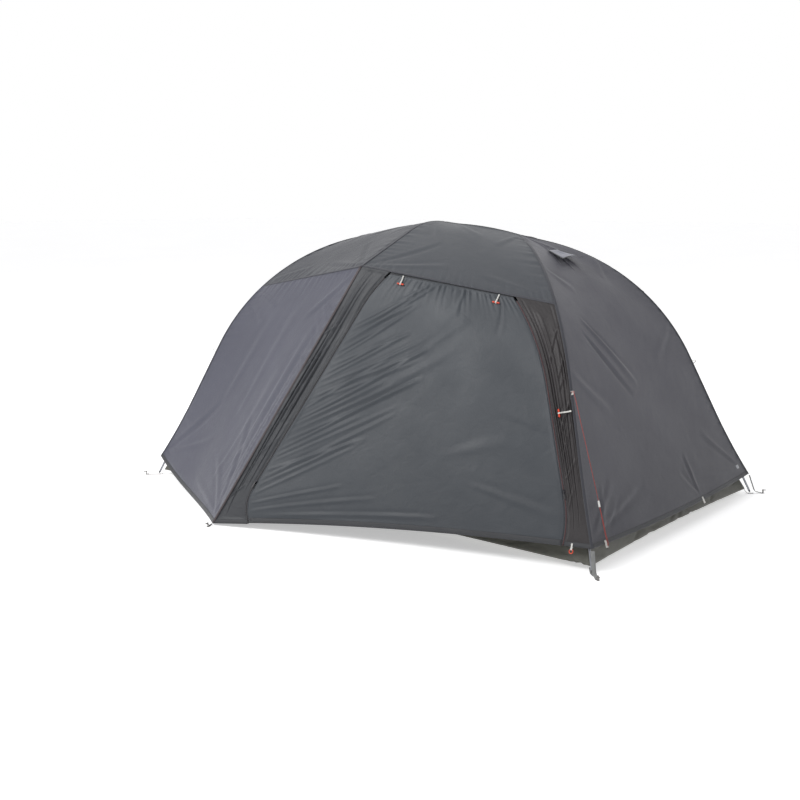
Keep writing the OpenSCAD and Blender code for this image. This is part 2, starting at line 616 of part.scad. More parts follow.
// A toggle on a flat loop that hangs from the x axis towards -y, lying on z = 0
toggle_r = 3.2;
toggle_len = 30;
toggle_lift = 0.5;
module toggle(drop) color(RED) {
    translate([-toggle_len / 2, -drop, toggle_r + toggle_lift]) rotate([0, 90, 0])
        cylinder(r = toggle_r, h = toggle_len);
    translate([-2.5, -drop, toggle_lift]) cube([5, drop, 1.4]);
}
door_drop = 36;
toggle_u = [0.113, 0.894];
function door_point(u, v, out) =
    let (p = door(u, v), e = 0.01,
         n = unit(cross(door(u + e, v) - door(u - e, v), p - door(u, v - e))))
    p + out * n;
function door_normal(u) =
    unit(cross(door(u + 0.01, 0.96) - door(u - 0.01, 0.96), door(u, 0.99) - door(u, 0.93)));
module door_toggle(u) {
    frame_at(door_point(u, 1, fly_t), door(1, 1) - door(0, 1), door_normal(u))
        toggle(door_drop);
}
placket_v = 0.53;
placket_drop = 44;
function placket_normal() =
    unit(cross(fly_placket(0.9, placket_v) - fly_placket(0.1, placket_v),
               fly_placket(0.5, placket_v + 0.02) - fly_placket(0.5, placket_v - 0.02)));
module placket_toggle() {
    up = fly_placket(0.9, placket_v + 0.02) - fly_placket(0.9, placket_v - 0.02);
    frame_at(fly_placket(0.93, placket_v) + (fly_t + 3) * placket_normal(), -up, placket_normal())
        toggle(placket_drop);
}

loop_d = 620;
tab_u = [0.065, 0.64];
ring_centre = [0, -12, 3.4];
module guy_loop() difference() {
    translate([-fly_off - fly_t - 17, -0.8, -7]) cube([16, 1.6, 14]);
    translate([-fly_off - fly_t - 11, 2, 0]) rotate([90, 0, 0]) cylinder(r = 2.4, h = 4);
}
// A tab sewn on the end panel's hem: x along the hem, z outwards
module on_hem(u) {
    across_hem = fly_end(u + 0.02, 0) - fly_end(u - 0.02, 0);
    normal = cross(across_hem, fly_end(u, 0.02) - fly_end(u, 0));
    frame_at(fly_end(u, 0), across_hem, normal) children();
}
module hem_tab() translate([-6, -14, fly_t + 0.5]) cube([12, 26, 1.2]);
module guy_out_loops() color(WEBBING_GREY) {
    for (sx = [-1, 1], sy = [-1, 1]) mirrored(sx, sy) leg_frame(loop_d) guy_loop();
    for (sx = [-1, 1], u = tab_u) mirrored(sx, 1) on_hem(u) hem_tab();
    on_hem(tab_u[0]) translate(ring_centre) rotate([0, 90, 0]) rotate_extrude() translate([6, 0]) circle(0.9);
}

// The guyline runs from the front right loop down to the hem and back up to its tensioner.
guy_r = 1;
guy_route = [[930, -508, 580], [944, -517, 560], [982, -530, 460], [1019, -543, 362],
             [1056, -556, 264], [1076, -563, 210], [1098, -571, 152], [1112, -576, 114],
             [1122, -579, 92], [1125.2, -581.5, 81.5], [1126.6, -585, 76.9], [1126.8, -588.6, 81.5],
             [1125, -590.5, 92], [1118, -589.5, 112], [1106, -584, 144], [1091, -577, 184],
             [1084, -575, 202]];
guy_step = 9;
// A point of the smooth curve through the points p, at the part t of the span after point i
function curve_point(p, i, t) =
    let (a = p[max(i - 1, 0)], b = p[i], c = p[i + 1], d = p[min(i + 2, len(p) - 1)])
    b + 0.5 * t * (c - a + t * (2 * a - 5 * b + 4 * c - d + t * (3 * (b - c) + d - a)));
guy_path = [for (i = [0:len(guy_route) - 2])
            let (n = max(1, round(norm(guy_route[i + 1] - guy_route[i]) / guy_step)))
            for (k = [0:n - (i < len(guy_route) - 2 ? 1 : 0)]) curve_point(guy_route, i, k / n)];
function ring_of(path, i) =
    let (n = len(path), a = unit(path[min(i + 1, n - 1)] - path[max(i - 1, 0)]),
         s = unit(cross(a, [1, 0, 0.3])), u = cross(s, a))
    [for (k = [0:7]) path[i] + guy_r * (cos(45 * k) * s + sin(45 * k) * u)];
module guyline() {
    n = len(guy_path);
    rings = [for (i = [0:n - 1]) each ring_of(guy_path, i)];
    function at(i, k) = i * 8 + k % 8;
    color(RED) polyhedron(rings, concat(
        [for (i = [0:n - 2]) for (k = [0:7])
            each [[at(i, k), at(i, k + 1), at(i + 1, k + 1)], [at(i, k), at(i + 1, k + 1), at(i + 1, k)]]],
        [for (k = [1:6]) each [[0, k + 1, k], [at(n - 1, 0), at(n - 1, k), at(n - 1, k + 1)]]]));
}

// The tensioner: z up the line, which runs through its bore; the line's end is tied in its far corner
tension_axis = guy_route[1] - guy_route[6];
tension_at = guy_route[5];
module line_tensioner() color(WEBBING_GREY)
    frame_at(tension_at, guy_route[len(guy_route) - 1] - tension_at, tension_axis) difference() {
        rotate([90, 0, 0]) linear_extrude(5, center = true) polygon([[-4, -9], [13, -9], [4, 13], [-3, 13]]);
        translate([0, 0, -20]) cylinder(r = 2, h = 40);
    }

// ---- Straps and stakes ----

// A flat strap along the points [x, z] of its upright plane
module strap(points, w, t) for (i = [0:len(points) - 2]) {
    step = points[i + 1] - points[i];
    translate([points[i][0], 0, points[i][1]]) rotate([0, -atan2(step[1], step[0]), 0])
        translate([0, -w / 2, -t / 2]) cube([norm(step), w, t]);
    if (i > 0) translate([points[i][0], w / 2, points[i][1]]) rotate([90, 0, 0])
        cylinder(r = t / 2 + strap_fold, h = w);
}
strap_t = 1.4;
strap_fold = 0.2;
strap_low = strap_t / 2 + strap_fold;
strap_end = -56;
corner_sz = leg_sz(corner_d) + (fly_off + corner_flare * pow(1 - corner_d / flare_d, 2) + fly_t)
            * [-sin(leg_slope), cos(leg_slope)];
strap_top = corner_sz + [-4, -7];
tub_corner = [22, rim_z - 4];
module wide_strap() {
    strap([strap_top, [-24, 10], [strap_end, strap_low]], 15, strap_t);
    strap([tub_corner, [8, strap_low], [-20, strap_low]], 9, strap_t);
}
module narrow_straps() {
    for (y = [-5, 5]) translate([0, y, 0]) strap([strap_top, [strap_end, strap_low]], 5, strap_t);
    strap([tub_corner, [8, strap_low], [strap_end, strap_low]], 4, strap_t);
}
module vestibule_frame() translate([stake_x, -stake_y, 0]) rotate([0, 0, 90]) children();
module stake_straps() {
    color(WEBBING_GREY) for (sy = [-1, 1]) mirrored(1, sy) leg_plane() wide_strap();
    color(WEBBING_RED) for (sy = [-1, 1]) mirrored(-1, sy) leg_plane() narrow_straps();
    color(BAND_GREY) for (sy = [1, -1]) mirrored(1, sy) vestibule_frame()
        strap([[-4, 7], [-20, strap_low]], 8, strap_t);
}
// The part of a stake that stands above the ground, with its hook
module stake() {
    cylinder(r = 2.4, h = 17);
    translate([-12, 0, 14]) rotate([0, 90, 0]) cylinder(r = 2, h = 15);
    translate([0, 7, 9]) rotate([90, 0, 0]) cylinder(r = 1.8, h = 14);
}
stake_gap = 5;
module stakes() color(METAL) {
    for (sx = [-1, 1], sy = [-1, 1])
        mirrored(sx, sy) leg_plane() translate([strap_end - stake_gap, 0, 0]) stake();
    for (sy = [1, -1]) mirrored(1, sy) vestibule_frame() translate([-20 - stake_gap, 0, 0]) stake();
}

// ---- Vent ----

// The hood is sewn on at its upper edge and held up at its lower one: [distance from hub, lift]
vent_top = [220, -2];
vent_low = [350, 20];
function vent_point(v) = let (p = fly_leg(1, leg_len - v[0])) [p[0], 0, p[2] + v[1]];
vent_run = vent_point(vent_low) - vent_point(vent_top);
vent_slope = atan2(-vent_run[2], vent_run[0]);
vent_len = norm(vent_run);
vent_half = [40, 74];
module vent_hood() color(BAND_GREY) translate(vent_point(vent_top)) rotate([0, vent_slope, 0]) {
    linear_extrude(fly_t) polygon([[0, -vent_half[0]], [vent_len, -vent_half[1]],
                                   [vent_len, vent_half[1]], [0, vent_half[0]]]);
    translate([0, vent_half[0], 0]) rotate([90, 0, 0]) cylinder(r = 2, h = 2 * vent_half[0]);
}

mirrored(-1, -1) leg_lower();  // leg_lower_front_left
mirrored(1, -1) leg_lower();  // leg_lower_front_right
mirrored(-1, 1) leg_lower();  // leg_lower_back_left
leg_lower();  // leg_lower_back_right
mirrored(-1, -1) leg_upper();  // leg_upper_front_left
mirrored(1, -1) leg_upper();  // leg_upper_front_right
mirrored(-1, 1) leg_upper();  // leg_upper_back_left
leg_upper();  // leg_upper_back_right
ridge_pole();
brow_pole();
pole_hubs();
ferrules();
shock_cords();
pole_tips();
brow_clip();
floor_tub();
mirrored(-1, 1) inner_end_panel();  // inner_end_left
inner_end_panel();  // inner_end_right
inner_wall_panel();  // inner_wall_front
mirrored(1, -1) inner_wall_panel();  // inner_wall_back
inner_roof();
inner_door_panel();  // inner_door_front
mirrored(1, -1) inner_door_panel();  // inner_door_back
pole_clips();
fly_roof_left_panel();  // fly_roof_front_left
fly_roof_right_panel();  // fly_roof_front_right
mirrored(1, -1) fly_roof_left_panel();  // fly_roof_back_left
mirrored(1, -1) fly_roof_right_panel();  // fly_roof_back_right
mirrored(-1, 1) fly_end_panel();  // fly_end_left
fly_end_panel();  // fly_end_right
fly_side_panel();  // fly_side_front
mirrored(1, -1) fly_side_panel();  // fly_side_back
fly_gusset_panel();  // fly_gusset_front
mirrored(1, -1) fly_gusset_panel();  // fly_gusset_back
fly_placket_panel();  // fly_placket_front
mirrored(1, -1) fly_placket_panel();  // fly_placket_back
door_panel();  // door_front
mirrored(1, -1) door_panel();  // door_back
door_zips();  // door_zips_front
mirrored(1, -1) door_zips();  // door_zips_back
zip_slider_left();  // zip_slider_front_left
zip_slider_right();  // zip_slider_front_right
mirrored(1, -1) zip_slider_left();  // zip_slider_back_left
mirrored(1, -1) zip_slider_right();  // zip_slider_back_right
zip_pull_left();  // zip_pull_front_left
zip_pull_right();  // zip_pull_front_right
mirrored(1, -1) zip_pull_left();  // zip_pull_back_left
mirrored(1, -1) zip_pull_right();  // zip_pull_back_right
door_toggle(toggle_u[0]);  // door_toggle_front_left
door_toggle(toggle_u[1]);  // door_toggle_front_right
mirrored(1, -1) door_toggle(toggle_u[0]);  // door_toggle_back_left
mirrored(1, -1) door_toggle(toggle_u[1]);  // door_toggle_back_right
placket_toggle();  // placket_toggle_front
mirrored(1, -1) placket_toggle();  // placket_toggle_back
guyline();
line_tensioner();
guy_out_loops();
stake_straps();
stakes();
vent_hood();
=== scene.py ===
import json
import math
import bpy
import numpy as np
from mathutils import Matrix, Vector


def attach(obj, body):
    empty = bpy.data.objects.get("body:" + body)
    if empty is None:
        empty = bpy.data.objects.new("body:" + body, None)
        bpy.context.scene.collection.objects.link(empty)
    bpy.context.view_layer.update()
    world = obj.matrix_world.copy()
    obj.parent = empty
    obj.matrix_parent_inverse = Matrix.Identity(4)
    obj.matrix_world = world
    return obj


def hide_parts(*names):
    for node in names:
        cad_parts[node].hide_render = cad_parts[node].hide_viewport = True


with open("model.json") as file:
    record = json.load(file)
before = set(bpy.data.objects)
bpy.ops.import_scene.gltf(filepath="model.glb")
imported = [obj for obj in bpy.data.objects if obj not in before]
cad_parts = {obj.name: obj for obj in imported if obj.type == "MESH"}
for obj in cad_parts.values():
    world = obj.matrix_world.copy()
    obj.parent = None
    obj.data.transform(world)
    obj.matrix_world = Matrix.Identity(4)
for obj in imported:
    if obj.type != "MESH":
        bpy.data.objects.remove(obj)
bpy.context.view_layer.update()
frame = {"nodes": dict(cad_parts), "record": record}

UP = np.array([0.0, 0.0, 1.0])


# ---- Vectors: every curve and surface below takes arrays and gives arrays of points ----

def vec(*p):
    return np.array(p, float)


def col(t):
    return np.asarray(t, float)[..., None]


def mix(a, b, t):
    return a + (b - a) * col(t)


def unit(v):
    """v, or each of its rows, at length 1."""
    return v / np.maximum(np.linalg.norm(v, axis=-1, keepdims=True), 1e-12)


def smooth(t):
    t = np.clip(t, 0, 1)
    return t * t * (3 - 2 * t)


MIRROR = vec(1, -1, 1)


def grey(k):
    return (k, k, k, 1)


# ---- Camera, lights and floor ----

def look(obj, target):
    away = obj.location - target
    obj.rotation_euler = away.to_track_quat("Z", "Y").to_euler()


def orbit(azimuth, elevation, distance, target):
    a, e = math.radians(azimuth), math.radians(elevation)
    return target + distance * vec(math.sin(a) * math.cos(e), -math.cos(a) * math.cos(e), math.sin(e))


scene = bpy.context.scene
TARGET = vec(-0.117, -0.170, 0.387)
camera = bpy.data.objects.new("camera", bpy.data.cameras.new("camera"))
scene.collection.objects.link(camera)
camera.data.sensor_width = 36
camera.data.lens = 50.3
camera.data.clip_end = 200
camera.location = Vector(orbit(38.81, 10.05, 4.839, TARGET))
look(camera, Vector(TARGET))
scene.camera = camera
scene.view_settings.view_transform = "Standard"


def area_light(name, azimuth, elevation, distance, size, watts, colour=(1, 1, 1)):
    light = bpy.data.objects.new(name, bpy.data.lights.new(name, "AREA"))
    light.data.shape = "DISK"
    light.data.size = size
    light.data.energy = watts
    light.data.color = colour
    scene.collection.objects.link(light)
    light.location = Vector(orbit(azimuth, elevation, distance, TARGET))
    look(light, Vector(TARGET))


area_light("key", -25, 42, 6.5, 3.2, 300)
area_light("fill", 80, 25, 7.0, 4.0, 45)
area_light("top", 150, 78, 6.0, 5.0, 60)

# A white backdrop stands on the far side of the tent; the rest of the studio is dimmer.
BACKDROP = (-0.62, 0.78, 0.0)
world = bpy.data.worlds.new("studio")
scene.world = world
world.use_nodes = True
wall = world.node_tree.nodes
facing = wall.new("ShaderNodeVectorMath")
facing.operation = "DOT_PRODUCT"
facing.inputs[1].default_value = BACKDROP
ramp = wall.new("ShaderNodeValToRGB")
ramp.color_ramp.elements[0].position = 0.15
ramp.color_ramp.elements[0].color = (0.46, 0.46, 0.47, 1)
ramp.color_ramp.elements[1].position = 0.70
ramp.color_ramp.elements[1].color = (1, 1, 1, 1)
world.node_tree.links.new(wall.new("ShaderNodeTexCoord").outputs["Generated"], facing.inputs[0])
world.node_tree.links.new(facing.outputs["Value"], ramp.inputs["Fac"])
world.node_tree.links.new(ramp.outputs["Color"], wall["Background"].inputs["Color"])
wall["Background"].inputs["Strength"].default_value = 1.0


# ---- Materials ----

def srgb(r, g, b):
    def linear(c):
        c /= 255
        return c / 12.92 if c <= 0.04045 else ((c + 0.055) / 1.055) ** 2.4
    return (linear(r), linear(g), linear(b), 1.0)


class Nodes:
    """A material's node tree with short calls to add and link nodes."""

    def __init__(self, name):
        self.material = bpy.data.materials.new(name)
        self.material.use_nodes = True
        self.tree = self.material.node_tree
        self.shader = self.tree.nodes["Principled BSDF"]

    def add(self, kind, links=(), **values):
        node = self.tree.nodes.new("ShaderNode" + kind)
        for key, value in values.items():
            if hasattr(node, key):
                setattr(node, key, value)
            else:
                node.inputs[key.replace("_", " ")].default_value = value
        for key, source in dict(links).items():
            self.tree.links.new(source, node.inputs[key])
        return node

    def math(self, operation, a, b=0.0):
        node = self.add("Math", operation=operation)
        for socket, value in zip(node.inputs, (a, b)):
            if isinstance(value, (int, float)):
                socket.default_value = value
            else:
                self.tree.links.new(value, socket)
        return node.outputs[0]

    def set(self, **values):
        for key, value in values.items():
            self.shader.inputs[key.replace("_", " ")].default_value = value

    def link(self, source, name):
        self.tree.links.new(source, self.shader.inputs[name])

    def noise(self, vector, scale, detail=3.0, rough=0.5, distortion=0.0):
        return self.add("TexNoise", {"Vector": vector}, Scale=scale, Detail=detail,
                        Roughness=rough, Distortion=distortion).outputs["Fac"]

    def scaled(self, vector, x, y, z):
        node = self.add("Mapping", {"Vector": vector})
        node.inputs["Scale"].default_value = (x, y, z)
        return node.outputs["Vector"]

    def ramp(self, fac, low, high, a=(0, 0, 0, 1), b=(1, 1, 1, 1)):
        node = self.add("ValToRGB", {"Fac": fac})
        node.color_ramp.elements[0].position = low
        node.color_ramp.elements[1].position = high
        node.color_ramp.elements[0].color = a
        node.color_ramp.elements[1].color = b
        return node.outputs["Color"]

    def tint(self, fac, low, high, colour, dark, light):
        """A base colour that varies between two shades."""
        self.link(self.ramp(fac, low, high, shade(colour, dark), shade(colour, light)), "Base Color")

    def roughness(self, fac, low, high, a, b):
        self.link(self.ramp(fac, low, high, grey(a), grey(b)), "Roughness")

    def bumps(self, *layers):
        """layers: (height, strength, distance)"""
        normal = None
        for height, strength, distance in layers:
            node = self.add("Bump", {"Height": height}, Strength=strength, Distance=distance)
            if normal is not None:
                self.tree.links.new(normal, node.inputs["Normal"])
            normal = node.outputs["Normal"]
        self.link(normal, "Normal")


def shade(colour, k):
    return tuple(min(1.0, c * k) for c in colour[:3]) + (1.0,)


def woven(name, colour, rough=0.5, sheen=0.12, pitch=0.0009, ripstop=0.0055, wrinkle=0.5, vary=0.08,
          coated=0.0, hem_shade=1.0, hem_shade_top=0.7):
    """Plain weave with ripstop squares; UVs are in metres. Below the given height the colour darkens to the
    given factor at the hem: painted shade towards the ground.
    """
    n = Nodes(name)
    uv = n.add("TexCoord").outputs["UV"]
    xyz = n.add("SeparateXYZ", {"Vector": uv})
    u, v = xyz.outputs["X"], xyz.outputs["Y"]
    turn = 2 * math.pi / pitch
    warp = n.math("SINE", n.math("MULTIPLY", u, turn))
    weft = n.math("SINE", n.math("MULTIPLY", v, turn))
    weave = n.math("MULTIPLY", warp, weft)

    def bars(w):
        f = n.math("FRACT", n.math("MULTIPLY", w, 1 / ripstop))
        return n.math("LESS_THAN", f, 0.11)

    grid = n.math("MAXIMUM", bars(u), bars(v))
    blotch = n.noise(uv, 2.2, 4, 0.55)
    streak = n.noise(n.scaled(uv, 260, 18, 1), 1.0, 2)
    base = n.ramp(blotch, 0.3, 0.7, shade(colour, 1 - vary), shade(colour, 1 + vary))
    thread = n.add("MixRGB", {"Color1": base, "Fac": n.math("MULTIPLY", streak, 0.16)},
                   Color2=shade(colour, 1.35)).outputs["Color"]
    ripped = n.add("MixRGB", {"Color1": thread, "Fac": n.math("MULTIPLY", grid, 0.22)},
                   Color2=shade(colour, 1.5)).outputs["Color"]
    # Painted shade: the colour is multiplied darker from the given height down to the hem.
    if hem_shade < 1:
        rise = n.ramp(n.math("MULTIPLY", v, 1 / hem_shade_top), 0.0, 1.0, grey(hem_shade))
        ripped = n.add("MixRGB", {"Color1": ripped, "Color2": rise}, blend_type="MULTIPLY", Fac=1.0)
        ripped = ripped.outputs["Color"]
    n.link(ripped, "Base Color")
    n.roughness(n.noise(uv, 5.0, 3), 0.3, 0.75, rough - 0.06, rough + 0.1)
    n.set(Sheen_Weight=sheen, Sheen_Roughness=0.45, Specular_IOR_Level=0.35, Coat_Weight=coated,
          Coat_Roughness=0.4)
    crumple = n.noise(n.scaled(uv, 1, 1, 1), 14.0, 4, 0.5, 0.6)
    fine = n.noise(uv, 55.0, 3, 0.5, 0.4)
    n.bumps((crumple, 0.35 * wrinkle, 0.010), (fine, 0.25 * wrinkle, 0.0022),
            (grid, 0.3, 0.0003), (weave, 0.25, 0.00012))
    return n.material


def webbing(name, colour, pitch=0.0016):
    """Ribbed tape: UVs are metres across and along."""
    n = Nodes(name)
    uv = n.add("TexCoord").outputs["UV"]
    xyz = n.add("SeparateXYZ", {"Vector": uv})
    rib = n.math("SINE", n.math("MULTIPLY", xyz.outputs["Y"], 2 * math.pi / pitch))
    cord = n.math("SINE", n.math("MULTIPLY", xyz.outputs["X"], 2 * math.pi / (pitch * 0.8)))
    weave = n.math("MULTIPLY", rib, cord)
    dirt = n.noise(uv, 60.0, 4)
    n.tint(dirt, 0.25, 0.75, colour, 0.8, 1.15)
    n.roughness(n.noise(uv, 200.0), 0.2, 0.8, 0.55, 0.75)
    n.set(Sheen_Weight=0.2)
    n.bumps((weave, 0.6, 0.0004), (dirt, 0.2, 0.0006))
    return n.material


def stitched(name, colour):
    """Sewing thread with a fine twist."""
    n = Nodes(name)
    uv = n.add("TexCoord").outputs["UV"]
    twist = n.noise(n.scaled(uv, 900, 2500, 1), 1.0, 2)
    n.tint(twist, 0.3, 0.7, colour, 0.7, 1.2)
    n.set(Roughness=0.6, Sheen_Weight=0.2)
    n.bumps((twist, 0.5, 0.0002))
    return n.material


def moulded(name, colour, rough=0.42, grain=900.0, bump=0.00008):
    n = Nodes(name)
    at = n.add("TexCoord").outputs["Object"]
    speck = n.noise(at, grain, 3)
    wear = n.noise(at, 40.0, 5, 0.6)
    n.tint(wear, 0.3, 0.8, colour, 0.88, 1.18)
    n.roughness(wear, 0.2, 0.8, rough - 0.07, rough + 0.12)
    n.bumps((speck, 0.4, bump), (wear, 0.1, 0.0004))
    return n.material


def metal(name, colour, rough=0.28, brushed=True):
    n = Nodes(name)
    at = n.add("TexCoord").outputs["Object"]
    lines = n.noise(n.scaled(at, 60, 60, 900), 1.0, 3) if brushed else n.noise(at, 300.0, 3)
    wear = n.noise(at, 25.0, 5, 0.65)
    n.tint(wear, 0.25, 0.8, colour, 0.85, 1.15)
    n.roughness(lines, 0.2, 0.8, rough - 0.08, rough + 0.14)
    n.set(Metallic=1.0)
    n.bumps((lines, 0.15, 0.0001), (wear, 0.1, 0.0003))
    return n.material


def meshed(name, colour, pitch=0.0016):
    """Fine knitted mesh, dense enough to look solid from a metre away."""
    n = Nodes(name)
    uv = n.add("TexCoord").outputs["UV"]
    xyz = n.add("SeparateXYZ", {"Vector": uv})
    a = n.math("ADD", xyz.outputs["X"], xyz.outputs["Y"])
    b = n.math("SUBTRACT", xyz.outputs["X"], xyz.outputs["Y"])
    cells = n.math("MULTIPLY", n.math("SINE", n.math("MULTIPLY", a, 2 * math.pi / pitch)),
                   n.math("SINE", n.math("MULTIPLY", b, 2 * math.pi / pitch)))
    hole = n.math("GREATER_THAN", n.math("ABSOLUTE", cells), 0.45)
    tone = n.noise(uv, 3.0, 3)
    base = n.ramp(tone, 0.3, 0.7, shade(colour, 0.9), shade(colour, 1.1))
    # The holes are painted dark: painted shade for the dim inside seen through them.
    n.link(n.add("MixRGB", {"Color1": base, "Fac": hole}, Color2=shade(colour, 0.35)).outputs["Color"],
           "Base Color")
    n.roughness(tone, 0.2, 0.8, 0.6, 0.8)
    n.set(Sheen_Weight=0.15)
    n.bumps((n.noise(uv, 12.0, 3), 0.3, 0.006), (cells, 0.5, 0.0004))
    return n.material


FLY = woven("fly_cloth", srgb(69, 70, 81))
# Painted shade: the roofs' copy of the fly fabric is darker than the fly's.
FLY_ROOF_SHADED = woven("fly_roof_shaded_cloth", srgb(60, 63, 68))
# Painted shade: the left roofs' copy of the fly fabric is darker still.
FLY_ROOF_LEFT_SHADED = woven("fly_roof_left_shaded_cloth", srgb(50, 52, 58))
# Painted light: the ends' copy of the fly fabric is lighter than the fly's, with painted shade towards the
# hem.
FLY_END_PAINTED_LIGHT = woven("fly_end_painted_light_cloth", srgb(74, 74, 81), hem_shade=0.66)
# Painted shade: the doors' copy of the fly fabric is darker, and darker still towards the hem.
DOOR_SHADED = woven("door_cloth", srgb(55, 59, 64), wrinkle=0.6, hem_shade=0.84, hem_shade_top=0.9)
# Painted shade: the gusset band's and the placket's copies of the fly fabric are darker, as sheets sloped
# into shade.
BAND_SHADED = woven("band_shaded_cloth", srgb(42, 44, 48), wrinkle=0.8)
PLACKET_SHADED_CLOTH = woven("placket_shaded_cloth", srgb(42, 39, 40), wrinkle=0.8)
HEM = woven("hem_tape", srgb(46, 47, 50), ripstop=0.002, wrinkle=0.3)
TENSION = woven("tension_tape", srgb(56, 47, 49), ripstop=0.002, wrinkle=0.3)
SEAM = woven("seam_tape", srgb(54, 55, 61), ripstop=0.002, wrinkle=0.25)
FLOOR = woven("floor_cloth", srgb(82, 82, 75), coated=0.15, wrinkle=0.9)
INNER = woven("inner_cloth", srgb(168, 170, 174), rough=0.6, wrinkle=0.8)
MESH = meshed("inner_mesh", srgb(78, 80, 84))
VENT_CLOTH = woven("vent_cloth", srgb(122, 123, 132), wrinkle=0.6)
THREAD = stitched("thread", srgb(42, 43, 47))
COIL = moulded("zip_coil", srgb(34, 33, 35), 0.5, 2000.0)
RED_COIL = moulded("red_zip_coil", srgb(74, 28, 28), 0.5, 2000.0)
TAPE = webbing("zip_tape", srgb(52, 52, 56), pitch=0.0012)
WHITE_WEB = webbing("white_webbing", srgb(206, 205, 200))
GREY_WEB = webbing("grey_webbing", srgb(128, 129, 128))
MAROON_WEB = webbing("maroon_webbing", srgb(70, 27, 28))
DARK_WEB = webbing("dark_webbing", srgb(38, 38, 41))
RED_CORD = webbing("red_cord", srgb(150, 46, 36), pitch=0.0022)
ORANGE = moulded("orange_plastic", srgb(196, 62, 32))
WHITE_PLASTIC = moulded("white_plastic", srgb(206, 206, 202))
BLACK_PLASTIC = moulded("black_plastic", srgb(34, 34, 36))
POLE = metal("pole_metal", srgb(150, 152, 158))
HUB = metal("hub_metal", srgb(128, 30, 28), 0.32, False)
ZIP_METAL = metal("zip_slider_metal", srgb(52, 52, 56), 0.4, False)
DARK_PULL = moulded("zip_pull_plastic", srgb(40, 38, 41))
STAKE = metal("stake_metal", srgb(120, 118, 116), 0.35)
ELASTIC = webbing("elastic", srgb(30, 30, 32))
LABEL = moulded("label_patch", srgb(150, 152, 156), 0.35)

NODE_MATERIALS = {
    "pole_hubs": HUB, "shock_cords": ELASTIC, "pole_tips": BLACK_PLASTIC, "brow_clip": BLACK_PLASTIC,
    "pole_clips": BLACK_PLASTIC, "stakes": STAKE, "ferrules": POLE, "ridge_pole": POLE, "brow_pole": POLE,
    "line_tensioner": WHITE_PLASTIC,
}


def paint(node, material):
    mesh = frame["nodes"][node].data
    if not mesh.materials:
        mesh.materials.append(material)
    for i in range(len(mesh.materials)):
        mesh.materials[i] = material


for node in frame["nodes"]:
    if node.startswith("leg_"):
        paint(node, POLE)
    elif node.startswith("zip_"):
        paint(node, ZIP_METAL if "slider" in node else DARK_PULL)
    elif node in NODE_MATERIALS:
        paint(node, NODE_MATERIALS[node])

floor_mesh = bpy.data.meshes.new("studio_floor")
floor_mesh.from_pydata([(-60, -60, 0), (60, -60, 0), (60, 60, 0), (-60, 60, 0)], [], [(0, 1, 2, 3)])
studio_floor = bpy.data.objects.new("studio_floor", floor_mesh)
scene.collection.objects.link(studio_floor)
pale = Nodes("studio_floor")
pale.link(pale.ramp(pale.noise(pale.add("TexCoord").outputs["Object"], 0.6, 2), 0.3, 0.7,
                    (0.86, 0.86, 0.86, 1), (0.90, 0.90, 0.90, 1)), "Base Color")
pale.set(Roughness=0.9, Emission_Color=(1, 1, 1, 1), Emission_Strength=0.45)
floor_mesh.materials.append(pale.material)


# ---- Meshes ----

def link(name, verts, faces, uvs=None, material=None, shade_smooth=True, mirrored=False):
    """A new object; a mirrored one is the same shape on the tent's other long side."""
    verts = np.asarray(verts, float).reshape(-1, 3)
    if mirrored:
        verts = verts * MIRROR
        faces = [f[::-1] for f in faces]
    mesh = bpy.data.meshes.new(name)
    mesh.from_pydata(verts.tolist(), [], faces)
    if uvs is not None:
        layer = mesh.uv_layers.new(name="UVMap")
        index = np.empty(len(mesh.loops), dtype=np.int32)
        mesh.loops.foreach_get("vertex_index", index)
        layer.data.foreach_set("uv", np.asarray(uvs, float).reshape(-1, 2)[index].ravel())
    if shade_smooth:
        mesh.polygons.foreach_set("use_smooth", [True] * len(mesh.polygons))
    if material is not None:
        mesh.materials.append(material)
    obj = bpy.data.objects.new(name, mesh)
    scene.collection.objects.link(obj)
    return obj


def distance(path):
    """How far each point of a path lies from its start, along it."""
    return np.concatenate([[0], np.cumsum(np.linalg.norm(np.diff(path, axis=0), axis=1))])


def ring_faces(count, sides, closed=False):
    """Faces between rings of points; an open row of rings has a cap at each end."""
    faces = []
    for i in range(count if closed else count - 1):
        near, far = i * sides, (i + 1) % count * sides
        for k in range(sides):
            faces.append((near + k, near + (k + 1) % sides, far + (k + 1) % sides, far + k))
    if not closed:
        faces.append(tuple(range(sides))[::-1])
        faces.append(tuple((count - 1) * sides + k for k in range(sides)))
    return faces


def normals(grid):
    across = np.gradient(grid, axis=1)
    up = np.gradient(grid, axis=0)
    return unit(np.cross(across, up))


def uv_grid(nu, nv):
    return np.meshgrid(np.linspace(0, 1, nu + 1), np.linspace(0, 1, nv + 1))


def grid_faces(nu, nv, keep=None, offset=0, flip=False):
    faces = []
    for j in range(nv):
        for i in range(nu):
            if keep is not None and not keep[j, i]:
                continue
            a = offset + j * (nu + 1) + i
            q = (a, a + 1, a + nu + 2, a + nu + 1)
            faces.append(q[::-1] if flip else q)
    return faces


